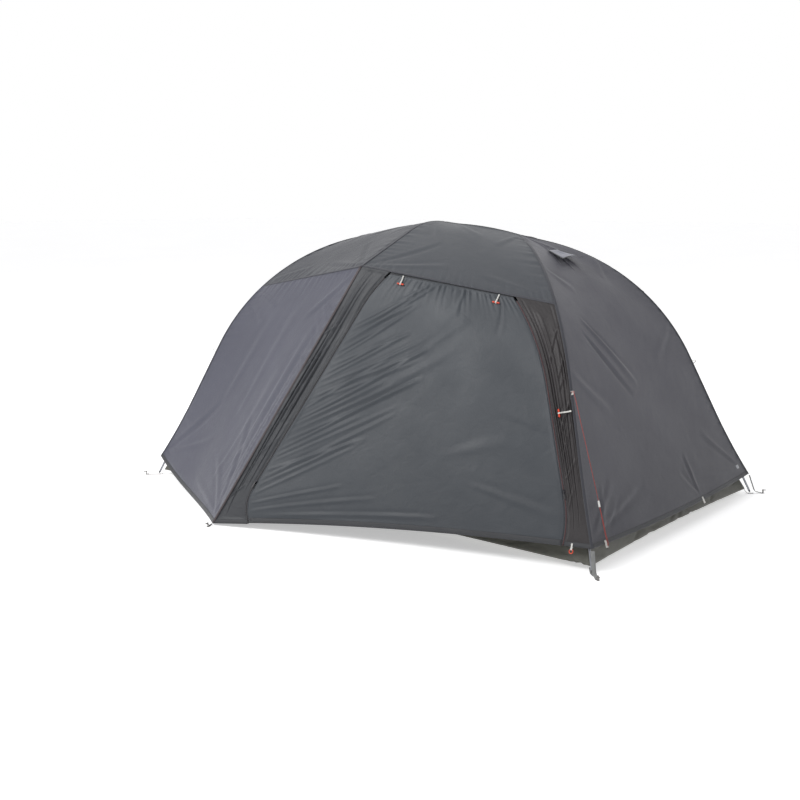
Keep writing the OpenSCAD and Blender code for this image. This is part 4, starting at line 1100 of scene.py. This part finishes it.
def dashes(name, path, ups, reach, lift, mirrored=False, offset=0.0, pitch=0.006):
    """Two rows of stitches beside the middle of a band, each stitch a small raised lozenge."""
    fine = resample(path, pitch / 2)
    fine = fine[:len(fine) - (len(fine) + 1) % 2]
    run = np.linspace(0, 1, len(path))
    at = np.linspace(0, 1, len(fine))
    up_fine = unit(np.stack([np.interp(at, run, ups[:, k]) for k in range(3)], axis=1))
    along, side, up = frames_along(fine, up_fine)
    half, wide, high = pitch * 0.36, 0.00035, 0.00035
    verts, faces = [], []
    for row in (-1, 1):
        for i in range(0, len(fine) - 1, 2):
            a, s, n = along[i], side[i], up[i]
            c = fine[i] + (row * reach + offset) * s + lift * n
            k = len(verts)
            verts += [c - half * a, c + wide * s, c + half * a, c - wide * s, c + high * n]
            faces += [(k, k + 1, k + 4), (k + 1, k + 2, k + 4), (k + 2, k + 3, k + 4), (k + 3, k, k + 4),
                      (k + 3, k + 2, k + 1, k)]
    return link(name, verts, faces, np.zeros((len(verts), 2)), THREAD, False, mirrored)


def leg_seam(sx, d0, d1):
    """The seam over a leg from d0 to d1, with the directions out of the fly."""
    d = np.linspace(d0, d1, 120)
    off = FLY_OFF + FLARE * np.maximum(0, 1 - d / FLARE_D) ** 2
    return fly_leg(sx, d), unit(leg_point(sx, -1, d, off + 0.01) - fly_leg(sx, d))


t = np.linspace(0, 1, 90)
for back, side in SIDES:
    for sx, end in ((-1, "left"), (1, "right")):
        path, ups = leg_seam(sx, CORNER_D, HUB_END_D)
        seam_band(f"{side}_{end}_leg_seam", path, ups, 0.010, SEAM, mirrored=back)
    path = fly_brow(np.linspace(BROW_TIP, -0.004, 90))
    ups = np.cross(unit(np.gradient(path, axis=0)), vec(-1, 0, 0))
    seam_band(f"{side}_brow_seam", path, ups, 0.012, SEAM, mirrored=back)
    # The door's seam lies on the roof's side of the line on which the door turns
    path = seam_right(t)
    ups = out_of(roof_right, t, 0 * t + 0.004)
    seam_band(f"{side}_door_seam", path, ups, 0.010, SEAM, mirrored=back, offset=-0.0055)
    # The tape that the door hangs from lies behind its top edge
    head = np.linspace(HEAD_LEFT, HEAD_RIGHT, 60)
    ups = out_of(roof_right, head, 0 * head + 0.004)
    seam_band(f"{side}_door_head_tape", seam_right(head), ups, 0.012, HEM, lift=-0.0034, mirrored=back,
              offset=0.002, stitches=False)
    path = seam_left(t)
    ups = unit(out_of(roof_left, t, 0 * t) + out_of(fly_side, t, 0 * t + 1))
    seam_band(f"{side}_side_seam", path, ups, 0.009, SEAM, mirrored=back)
    path = tension_edge(t)
    ups = unit(out_of(fly_side, 0 * t + 1, t) + out_of(fly_gusset, 0 * t, t))
    seam_band(f"{side}_tension_seam", path, ups, 0.011, TENSION, mirrored=back)
path = fly_ridge(np.linspace(-HUB_X, HUB_X, 110))
seam_band("ridge_seam", path, np.tile(UP, (len(path), 1)), 0.010, SEAM)


def hem_band(name, f, width, body, mirrored=False):
    u = np.linspace(0, 1, 110)
    v = 0 * u + width / 2 / span(f)[1]
    seam_band(name, f(u, v), out_of(f, u, v), width, HEM, body, 0.0010, 0.0005, 0.0007, mirrored)


for back, side in SIDES:
    hem_band(f"{side}_side_hem", fly_side, HEM_W, "tent", back)
    hem_band(f"{side}_gusset_hem", fly_gusset, HEM_W, "tent", back)
    hem_band(f"{side}_placket_hem", fly_placket, HEM_W, "tent", back)
    hem_band(f"{side}_door_hem", door_cloth, DOOR_HEM_W, f"door_{side}", back)
hem_band("right_end_hem", fly_end, HEM_W, "tent")
hem_band("left_end_hem", end_left, HEM_W, "tent")


# ---- Door zips ----

def zip_normals(f, v):
    return unit(np.cross(across(v), f(np.minimum(v + 0.005, 1)) - f(np.maximum(v - 0.005, 0))))


def zip_line(name, f, node, coil_material, mirrored):
    v = np.linspace(0, 0.975, 160)
    path, ups = f(v), zip_normals(f, v)
    tape = band(name + "_tape", path, ups, ZIP_SLOT - 0.0008, 0.0007, TAPE, 0.0, 0.0002, mirrored)
    fine = resample(path + 0.0011 * ups, 0.0006)
    wave = 0.0011 + 0.0004 * np.abs(np.sin(np.arange(len(fine)) * math.pi / 3))
    coil = tube(name + "_coil", fine, 0.0012, coil_material, 6, mirrored=mirrored, radii=wave)
    for piece in (tape, coil):
        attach(piece, "tent")
        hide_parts(node)


for back, side in SIDES:
    zip_line(f"{side}_left_zip", zip_left, f"door_zips_{side}", COIL, back)
    zip_line(f"{side}_right_zip", zip_right, f"door_zips_{side}", RED_COIL, back)


# ---- Inner tent ----

SEAM_BOW, TUB_TOP_Z = 0.020, 0.150
TUB_D = (TUB_H + 0.004) / math.sin(SLOPE)
INNER_BROW_END = brow_point(0.025 - BROW_REACH, INNER_OFF)


def inner_leg(sx, d, sy=-1):
    return leg_point(sx, sy, np.asarray(d, float), INNER_OFF)


def ramp_d(d0, d1, sx, sy=-1):
    return lambda t: inner_leg(sx, d0 + (d1 - d0) * np.asarray(t, float), sy)


def inner_seam(t):
    t = np.asarray(t, float)
    a, b = inner_leg(-1, SEAM_D), inner_leg(1, SEAM_D)
    tb = (BROW_X - a[0]) / (b[0] - a[0])
    return np.where(col(t < tb), mix(a, INNER_BROW_END, t / tb),
                    mix(INNER_BROW_END, b, (t - tb) / (1 - tb)))


def inner_low(t):
    t = np.asarray(t, float)
    return (mix(inner_leg(-1, TUB_D), inner_leg(1, TUB_D), t)
            + col(SEAM_BOW * 4 * t * (1 - t)) * vec(0, 1, 0))


def end_low(t):
    t = np.asarray(t, float)
    return (mix(inner_leg(1, TUB_D), inner_leg(1, TUB_D, 1), t)
            - col(SEAM_BOW * 4 * t * (1 - t)) * vec(1, 0, 0))


inner_wall = patch(inner_low, inner_seam, ramp_d(TUB_D, SEAM_D, -1), ramp_d(TUB_D, SEAM_D, 1), 6)
inner_roof = patch(inner_seam, line(-HUB_X, HUB_X, lambda x: ridge_point(x, INNER_OFF)),
                   ramp_d(SEAM_D, HUB_END_D, -1), ramp_d(SEAM_D, HUB_END_D, 1), 1)
inner_end = patch(end_low, lambda t: mix(inner_leg(1, HUB_END_D), inner_leg(1, HUB_END_D, 1), t),
                  ramp_d(TUB_D, HUB_END_D, 1), ramp_d(TUB_D, HUB_END_D, 1, 1), 1)
INNER_TRIM = 0.002
# The wall is split into cells across and up; the door's opening takes some of them
WALL_NU, WALL_NV, DOOR_CELLS = 14, 10, (5, 10, 1, 9)


def trimmed(f, left, right, low, high):
    w, h = span(f)
    return part_of(f, left / w, 1 - right / w, low / h, 1 - high / h)


wall_cloth = trimmed(inner_wall, INNER_TRIM, INNER_TRIM, 0, INNER_TRIM)
roof_cloth = trimmed(inner_roof, INNER_TRIM, INNER_TRIM, INNER_TRIM, INNER_TRIM)
end_cloth = trimmed(inner_end, INNER_TRIM, INNER_TRIM, 0, INNER_TRIM)
opening = part_of(wall_cloth, DOOR_CELLS[0] / WALL_NU, DOOR_CELLS[1] / WALL_NU,
                  DOOR_CELLS[2] / WALL_NV, DOOR_CELLS[3] / WALL_NV)
inner_door = trimmed(opening, DOOR_GAP, DOOR_GAP, DOOR_GAP, DOOR_GAP)
INNER_CREASES = [
    ((0.02, 0.03), (0.30, 0.22), 0.03, 0.003, 0.0), ((0.98, 0.04), (0.70, 0.2), 0.03, 0.003, 0.0),
    ((0.03, 0.97), (0.28, 0.80), 0.03, 0.003, 0.0), ((0.97, 0.96), (0.70, 0.78), 0.03, -0.003, 0.0),
]


def inner_panel(name, f, material, node, seed, body="tent", mirrored=False, grid=None, keep=None,
                share=1.0):
    size = span(f)
    obj = panel(name, f, grid or cells(f, 0.016), material, relief(size, INNER_CREASES, "b", seed), body,
                node, mirrored, keep=keep,
                area=min(share * panel_area(f), size[0] * size[1]))
    return obj


STEP = 5
wall_grid = (WALL_NU * STEP, WALL_NV * STEP)
wall_keep = np.ones(wall_grid[::-1], bool)
door_left, door_right, door_low, door_high = [STEP * k for k in DOOR_CELLS]
wall_keep[door_low:door_high, door_left:door_right] = False
wall_share = 1 - panel_area(opening) / panel_area(wall_cloth)
for back, side in SIDES:
    inner_panel(f"inner_{side}_wall", wall_cloth, INNER, f"inner_wall_{side}", 31 + back,
                mirrored=back, grid=wall_grid, keep=wall_keep, share=wall_share)
    inner_panel(f"inner_{side}_roof_half", roof_cloth, MESH, "inner_roof", 33 + back,
                mirrored=back)
    inner_panel(f"inner_{side}_door_mesh", inner_door, MESH, f"inner_door_{side}",
                35 + back, body=f"inner_door_{side}", mirrored=back)
    edge = np.linspace(0, 1, 40)
    loop = np.concatenate([opening(1 - edge, 0 * edge), opening(0 * edge, edge)[1:],
                           opening(edge, 0 * edge + 1)[1:]])
    path = spline(loop[::4], 6)
    ups = np.tile(out_of(opening, 0.5, 0.5), (len(path), 1))
    inner_zip = band(f"inner_{side}_zip", path, ups, 0.008, 0.0009, TAPE, 0.0008, 0.0012, back, 0.006)
    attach(inner_zip, "tent")
inner_panel("inner_right_end", end_cloth, INNER, "inner_end_right", 37)
inner_panel("inner_left_end", other_end(end_cloth), INNER, "inner_end_left", 38)


# ---- Floor tub: a flat floor and four raised walls, seamed at the corners ----

def tub_ring(inset, z, bow):
    a, b = FLOOR_X / 2 - inset, FLOOR_Y / 2 - inset
    corners = vec((a, -b, z), (a, b, z), (-a, b, z), (-a, -b, z))
    inward = vec((-1, 0, 0), (0, -1, 0), (1, 0, 0), (0, 1, 0))

    def at(side, t):
        t = np.asarray(t, float)
        return (mix(corners[side], corners[(side + 1) % 4], t)
                + col(bow * 4 * t * (1 - t)) * inward[side])

    return at


FLAT_INSET, FLAT_Z, TUB_FOLD = 0.170, 0.0003, 0.55
tub_flat = tub_ring(FLAT_INSET, FLAT_Z, 0)
tub_rim = tub_ring(0.014, 0.022, SEAM_BOW)
tub_top = tub_ring(0.074, TUB_TOP_Z, SEAM_BOW)


def tub_wall(side):
    """From the flat floor out to the rim, which is at v = TUB_FOLD, and up to the top."""
    def at(u, v):
        t = np.clip(v / TUB_FOLD, 0, 1)
        low = mix(tub_flat(side, u), tub_rim(side, u), smooth(t) * 0.25 + t * 0.75)
        rise = mix(tub_rim(side, u), tub_top(side, u), np.clip((v - TUB_FOLD) / (1 - TUB_FOLD), 0, 1))
        return np.where(col(v < TUB_FOLD), low, rise)

    return at


def crumple(size, seed, gain):
    """Short folds at random, only inwards from the surface."""
    rng = np.random.default_rng(seed)
    ranges = ((0, 1), (0.1, 0.95), (-0.9, 0.9), (0.05, 0.16), (0.006, 0.014))
    marks = [[rng.uniform(*r) for r in ranges] for _ in range(int(size[0] * 34))]

    def at(U, V):
        total = 0 * U
        for u, v, angle, length, width in marks:
            du, dv = math.cos(angle) * length / size[0] / 2, math.sin(angle) * length / size[1] / 2
            total = total + crease(U, V, size, (u - du, v - dv), (u + du, v + dv), width, 0.003)
        return -gain * np.abs(total) * edge_fade(U, V, size, 0.0, 0.0, 0.02)

    return at


for side, name in enumerate(("right", "back", "left", "front")):
    f = tub_wall(side)
    size = span(f)
    wall = panel(f"tub_{name}_wall", f, cells(f, 0.009), FLOOR, crumple(size, 41 + side, 1.7), "tent",
                 "floor_tub", area=min(panel_area(f), size[0] * size[1]))
    t = np.linspace(0, 1, 70)
    seam_band(f"tub_{name}_top_seam", f(t, 0 * t + 0.97), out_of(f, t, 0 * t + 0.9), 0.012, SEAM)


def tub_floor(u, v):
    inset = FLAT_INSET + 0.0005
    a, b = FLOOR_X / 2 - inset, FLOOR_Y / 2 - inset
    return np.stack([(2 * u - 1) * a, (2 * v - 1) * b, 0 * u + FLAT_Z], axis=-1)


floor_size = span(tub_floor)
ground_crumple = crumple(floor_size, 47, 0.5)
ground_sheet = panel("tub_ground_sheet", tub_floor, cells(tub_floor, 0.018), FLOOR,
                     lambda U, V: np.abs(ground_crumple(U, V)), "tent", "floor_tub")


# ---- Small fittings, each built at the origin and then put in its place ----

def turned_to(origin, x, z, mirrored=False):
    """A function that takes local points to the tent's frame."""
    o, z = vec(*origin), unit(vec(*z))
    x = unit(vec(*x) - np.dot(vec(*x), z) * z)
    y = np.cross(z, x)

    def at(p):
        p = np.asarray(p, float)
        q = o + p[..., 0:1] * x + p[..., 1:2] * y + p[..., 2:3] * z
        return q * MIRROR if mirrored else q

    return at


def put(obj, at, mirrored=False):
    """Move a piece made at the origin to its place."""
    mesh = obj.data
    flat = np.empty(len(mesh.vertices) * 3)
    mesh.vertices.foreach_get("co", flat)
    mesh.vertices.foreach_set("co", at(flat.reshape(-1, 3)).ravel())
    if mirrored:
        mesh.flip_normals()
    mesh.update()
    return obj


def fixed(obj, body, slot, *nodes):
    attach(obj, body)
    if nodes:
        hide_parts(*nodes)
    return obj


def slab(name, outline, low, high, material, bevel):
    """A plate with rounded edges on a closed outline."""
    outline = np.asarray(outline, float)
    along = unit(np.roll(outline, -1, axis=0) - np.roll(outline, 1, axis=0))
    inward = np.stack([-along[:, 1], along[:, 0]], axis=1)
    rings = []
    for k, z in ((1, low), (0.3, low + 0.3 * bevel), (0, low + bevel), (0, high - bevel),
                 (0.3, high - 0.3 * bevel), (1, high)):
        rings.append(np.column_stack([outline + k * bevel * inward, np.full(len(outline), z)]))
    verts = np.concatenate(rings)
    return link(name, verts, ring_faces(len(rings), len(outline)), verts[:, :2], material)


def rounded(points, radius, steps=6):
    """A closed outline with its corners rounded."""
    p = np.asarray(points, float)
    out = []
    for i in range(len(p)):
        a, b, c = p[i - 1], p[i], p[(i + 1) % len(p)]
        u, v = unit(a - b), unit(c - b)
        r = min(radius, 0.45 * np.linalg.norm(a - b), 0.45 * np.linalg.norm(c - b))
        for t in np.linspace(0, 1, steps):
            out.append((b + u * r) * (1 - t) ** 2 + 2 * b * t * (1 - t) + (b + v * r) * t ** 2)
    return np.array(out)


def ribbon(name, path, across, width, thick, material):
    """A strip of webbing along a path; its width points along across, and its ends are square."""
    path = np.asarray(path, float)
    side = np.tile(unit(vec(*across)), (len(path), 1))
    along = unit(np.gradient(path, axis=0))
    up = unit(np.cross(side, along))
    half, t = width / 2, thick / 2
    edge, inner = t * 0.4, half * 0.96
    section = [(-half, -edge), (-inner, -t), (inner, -t), (half, -edge), (half, edge), (inner, t),
               (-inner, t), (-half, edge)]
    return sweep_section(name, path, side, up, section, material)


# Toggles: a barrel with turned-up ends on a loop of webbing that goes round it
DOOR_DROP, PLACKET_DROP, TOGGLE_LIFT = 0.036, 0.044, 0.0037


def toggle(name, node, drop, place, mirrored):
    x = np.linspace(-0.015, 0.015, 31)
    path = np.stack([x, 0 * x - drop, TOGGLE_LIFT + 0.0016 * (x / 0.015) ** 4], axis=-1)
    radii = 0.0026 + 0.0007 * smooth(np.abs(x) / 0.012)
    radii *= np.sqrt(np.clip((0.0156 - np.abs(x)) / 0.0022, 0.05, 1))
    barrel = tube(name + "_barrel", path, 0.003, ORANGE, 14, radii=radii)
    a = np.linspace(-0.5, 0.5, 17) * math.pi
    turn = np.stack([0 * a, -drop - 0.0035 * np.cos(a), TOGGLE_LIFT + 0.0034 * np.sin(a)], axis=-1)
    top = vec((0, 0, 0.0032), (0, -0.006, 0.0034), (0, -drop * 0.5, 0.0042), (0, -drop + 0.008, 0.0062))
    low = vec((0, -drop + 0.007, 0.0016), (0, -drop * 0.5, 0.0018), (0, -0.006, 0.0020), (0, 0, 0.0022))
    loop = spline(np.concatenate([low[::-1], turn[2:-2:4], top[::-1]]), 6)
    webbing_loop = ribbon(name + "_loop", loop, (1, 0, 0), 0.005, 0.0009, WHITE_WEB)
    for piece, slot in ((barrel, "red_plastic"), (webbing_loop, "pale_webbing")):
        fixed(put(piece, place, mirrored), node, slot, node)


TOGGLE_U, PLACKET_V = (0.113, 0.894), 0.53
JOINTS = {joint["name"]: joint for joint in frame["record"]["behaviour"]["joints"]}


def door_out(u):
    """Outwards from the door near its top edge."""
    return np.cross(door_cloth(u + 0.01, 0.96) - door_cloth(u - 0.01, 0.96),
                    door_cloth(u, 0.99) - door_cloth(u, 0.93))


def placket_out(v):
    return np.cross(fly_placket(0.9, v) - fly_placket(0.1, v),
                    fly_placket(0.5, v + 0.02) - fly_placket(0.5, v - 0.02))


def hinged(node, out):
    """Origin, x and outward z of a toggle: its CAD hinge, moved in by the fly's thickness."""
    joint = JOINTS[node + "_swing"]
    return vec(*joint["pos_m"]) - FLY_T * unit(out), -vec(*joint["axis"]), out


TOGGLES = (
    ("door_toggle", "_left", DOOR_DROP, hinged("door_toggle_front_left", door_out(TOGGLE_U[0]))),
    ("door_toggle", "_right", DOOR_DROP, hinged("door_toggle_front_right", door_out(TOGGLE_U[1]))),
    ("placket_toggle", "", PLACKET_DROP, hinged("placket_toggle_front", placket_out(PLACKET_V))),
)
for kind, end, drop, (origin, x, z) in TOGGLES:
    for back, side in SIDES:
        node = f"{kind}_{side}{end}"
        toggle(node + "_piece", node, drop, turned_to(origin, x, z, back), back)

# Guyline loops on the legs: a webbing loop sewn into the seam, its eye square to the leg
LOOP_D = 0.620


def leg_frame(sx, d):
    """A point of the fly over a leg, with the directions out of the fly and up the leg."""
    foot = fly_leg(sx, d)
    out = unit(leg_point(sx, -1, d, FLY_OFF + 0.01) - foot)
    return foot, out, unit(fly_leg(sx, d + 0.01) - fly_leg(sx, d - 0.01))


for sx, end in ((-1, "left"), (1, "right")):
    for back, side in SIDES:
        foot, out, along = leg_frame(sx, LOOP_D)
        a = np.linspace(-0.5, 0.5, 13) * math.pi
        arc = np.stack([0.0126 + 0.0042 * np.cos(a), 0.0042 * np.sin(a), 0 * a], axis=-1)
        ends = vec((0.0012, -0.0062, 0), (0.006, -0.0052, 0))
        loop = spline(np.concatenate([ends, arc, (ends * MIRROR)[::-1]]), 4)
        piece = ribbon(f"{side}_{end}_guy_loop", loop, (0, 0, 1), 0.008, 0.0011, WHITE_WEB)
        place = turned_to(foot, out, np.cross(out, along), back)
        fixed(put(piece, place, back), "tent", "pale_webbing", "guy_out_loops")

# The knot of the guyline round the front right loop
foot, out, along = leg_frame(1, LOOP_D)
ring = np.linspace(0, 2 * math.pi, 24, endpoint=False)
centre = foot + out * 0.0163
sideways = np.cross(out, along)
knot = tube("guyline_knot", centre + 0.0034 * np.cos(ring)[:, None] * out
            + 0.0058 * np.sin(ring)[:, None] * sideways, GUY_R, RED_CORD, 10, True)
fixed(knot, "tent", "red_cord")

# Tabs on the end hems, folded back on themselves, and the ring on the front right one
TAB_U = (0.065, 0.64)
RING_R, WIRE_R = 0.006, 0.0009
for sx, end in ((-1, "left"), (1, "right")):
    for k, u in enumerate(TAB_U):
        hem = fly_end(u + 0.02, 0.0) - fly_end(u - 0.02, 0.0)
        normal = np.cross(hem, fly_end(u, 0.02) - fly_end(u, 0.0))
        flip = vec(sx, 1, 1)
        frame_at = turned_to(fly_end(u, 0.0), hem, normal)

        def place(p):
            return frame_at(p) * flip

        fold = vec((0, 0.012, 0.0030), (0, 0, 0.0030), (0, -0.012, 0.0030), (0, -0.0138, 0.0024),
                   (0, -0.0138, 0.0016), (0, -0.012, 0.0012), (0, -0.0015, 0.0012))
        tab = ribbon(f"{end}_hem_tab_{k + 1}", spline(fold, 5), (1, 0, 0), 0.012, 0.0009, WHITE_WEB)
        fixed(put(tab, place, sx < 0), "tent", "pale_webbing", "guy_out_loops")
        if sx > 0 and k == 0:
            path = np.stack([0 * ring, -0.012 + RING_R * np.cos(ring), 0.0034 + RING_R * np.sin(ring)],
                            axis=-1)
            hoop = tube("hem_ring", path, WIRE_R, STAKE, 10, True)
            fixed(put(hoop, place), "tent", "stake_metal", "guy_out_loops")

# Straps run in the upright plane of a leg, [out from the floor's corner, z]
PLAN = LEG_PLAN / LEG_REACH
CORNER_SZ = (leg_sz(CORNER_D) + (FLY_OFF + FLARE * (1 - CORNER_D / FLARE_D) ** 2 + FLY_T)
             * vec(-math.sin(SLOPE), math.cos(SLOPE)))
STRAP_TOP, TUB_CORNER, STRAP_Z = CORNER_SZ + vec(-0.004, -0.007), vec(0.022, 0.018), 0.0009
STRAP_T, STRAP_END, STAKE_GAP = 0.0014, -0.056, 0.005


def leg_plane(sx, sy):
    """x inwards along the floor from a corner, z up."""
    inwards = vec(sx * PLAN[0], sy * PLAN[1], 0)

    def at(p):
        side = np.cross(UP, inwards)
        return (vec(sx * FLOOR_X / 2, sy * FLOOR_Y / 2, 0) + p[..., 0:1] * inwards + p[..., 1:2] * side
                + p[..., 2:3] * UP)

    return at


def vestibule_plane(sy):
    """x inwards from a vestibule's stake, z up."""
    def at(p):
        return vec(STAKE_X, sy * STAKE_Y, 0) + np.stack([p[..., 1], -sy * p[..., 0], p[..., 2]], axis=-1)

    return at


def strap(name, points, width, material, place, y=0.0):
    """A strap with soft bends at its corners."""
    p = np.asarray(points, float)
    path = [p[0]]
    for i in range(1, len(p) - 1):
        for t in np.linspace(0, 1, 7):
            a, b = mix(p[i], p[i - 1], 0.12), mix(p[i], p[i + 1], 0.12)
            path.append(a * (1 - t) ** 2 + 2 * p[i] * t * (1 - t) + b * t * t)
    path.append(p[-1])
    path = [(s, y, z) for s, z in resample(path, 0.004)]
    return fixed(put(ribbon(name, path, (0, 1, 0), width, STRAP_T, material), place), "tent",
                 "pale_webbing", "stake_straps")


def stake_ring(name, end, place):
    """The oval ring that ties a strap's end to its stake."""
    middle = end - STAKE_GAP / 2
    path = np.stack([middle + 0.0085 * np.cos(ring), 0.0050 * np.sin(ring), 0 * ring + 0.0010], axis=-1)
    return fixed(put(tube(name, path, WIRE_R, STAKE, 8, True), place), "tent", "stake_metal")


for back, side in SIDES:
    sy = 1 if back else -1
    place = leg_plane(1, sy)
    strap(f"{side}_right_strap", [STRAP_TOP, (-0.024, 0.010), (STRAP_END, STRAP_Z)], 0.015, GREY_WEB, place)
    strap(f"{side}_right_tub_strap", [TUB_CORNER, (0.008, STRAP_Z), (-0.020, STRAP_Z)], 0.009, GREY_WEB,
          place)
    stake_ring(f"{side}_right_stake_ring", STRAP_END, place)
    place = leg_plane(-1, sy)
    for k, y in enumerate((-0.005, 0.005)):
        strap(f"{side}_left_strap_{k + 1}", [STRAP_TOP, (STRAP_END, STRAP_Z)], 0.005, MAROON_WEB, place, y)
    strap(f"{side}_left_tub_strap", [TUB_CORNER, (0.008, STRAP_Z), (STRAP_END, STRAP_Z)], 0.004, MAROON_WEB,
          place)
    stake_ring(f"{side}_left_stake_ring", STRAP_END, place)
    place = vestibule_plane(sy)
    strap(f"{side}_vestibule_strap", [(-0.004, 0.007), (-0.020, STRAP_Z)], 0.008, DARK_WEB, place)
    stake_ring(f"{side}_vestibule_stake_ring", -0.020, place)


# ---- Vent hood, hinged at its upper edge ----

VENT_TOP, VENT_LOW, VENT_HALF = (0.220, -0.002), (0.350, 0.020), (0.040, 0.074)


def vent_point(d, lift):
    p = fly_leg(1, LEG_LEN - d)
    return vec(p[0], 0, p[2] + lift)


vent_a, vent_b = vent_point(*VENT_TOP), vent_point(*VENT_LOW)
vent_run = vent_b - vent_a
vent_len = float(np.linalg.norm(vent_run))
vent_up = np.cross(vent_run / vent_len, vec(0, 1, 0))


def vent(u, v):
    """u across, v from the free edge up to the hinge."""
    half = VENT_HALF[0] + (VENT_HALF[1] - VENT_HALF[0]) * (1 - v)
    y = (2 * u - 1) * half
    arch = 0.010 * (1 - v) * (1 - (2 * u - 1) ** 2) - 0.004 * np.sin(math.pi * v) * (1 - np.abs(2 * u - 1))
    return (vent_a + col((1 - v) * vent_len) * (vent_run / vent_len) + col(y) * vec(0, 1, 0)
            + col(arch + 0.0006) * vent_up)


VENT_CREASES = [
    ((0.50, 0.98), (0.20, 0.30), 0.010, 0.0020, 0.0), ((0.50, 0.98), (0.80, 0.34), 0.010, 0.0020, 0.0),
    ((0.52, 0.96), (0.52, 0.30), 0.012, -0.0016, 0.0), ((0.30, 0.80), (0.08, 0.20), 0.010, -0.0016, 0.0),
    ((0.70, 0.80), (0.92, 0.24), 0.010, 0.0016, 0.0),
]
cloth("vent_hood_cloth", vent, VENT_CLOTH, VENT_CREASES, "tb", 51, "vent_hood",
      body="vent_hood", cell=0.004)
t = np.linspace(0, 1, 40)
for name, u, v in (("rim", t, 0 * t + 0.03), ("front_edge", 0 * t + 0.03, t),
                   ("back_edge", 0 * t + 0.97, t)):
    seam_band(f"vent_{name}", vent(u, v), out_of(vent, u, v), 0.008, HEM, "vent_hood")

# The ring at the foot of each placket, on a loop of webbing sewn to the hem
for back, side in SIDES:
    hem = hem_right(0.952)
    run = unit(hem_right(0.96) - hem_right(0.944))
    out = out_of(fly_placket, 0.35, 0.01)
    place = turned_to(hem, run, out, back)
    path = np.stack([0.0068 * np.cos(ring), -0.0175 + 0.0068 * np.sin(ring),
                     0.0030 + 0.0012 * np.cos(ring)], axis=-1)
    hoop = tube(f"{side}_foot_ring", path, 0.0017, ORANGE, 12, True)
    loop = spline(vec((0, 0.010, 0.0030), (0, -0.002, 0.0036), (0, -0.0100, 0.0062), (0, -0.0132, 0.0034),
                      (0, -0.0100, 0.0006), (0, -0.002, 0.0004)), 6)
    fixed(put(hoop, place, back), "tent", "red_plastic")
    sling = ribbon(f"{side}_foot_ring_loop", loop, (1, 0, 0), 0.006, 0.0009, WHITE_WEB)
    fixed(put(sling, place, back), "tent", "pale_webbing")

# A small blank patch near the back right corner
PATCH_U, PATCH_V, PATCH_X, PATCH_Y = 0.955, 0.035, 0.012, 0.008
outline = [(-PATCH_X, -PATCH_Y), (PATCH_X, -PATCH_Y), (PATCH_X, PATCH_Y), (-PATCH_X, PATCH_Y)]
label = slab("corner_patch", rounded(outline, 0.002), 0.0008, 0.0018, LABEL, 0.0004)
place = turned_to(fly_end(PATCH_U, PATCH_V),
                  fly_end(PATCH_U + 0.02, PATCH_V) - fly_end(PATCH_U - 0.02, PATCH_V),
                  out_of(fly_end, PATCH_U, PATCH_V))
fixed(put(label, place), "tent", "pale_plastic")
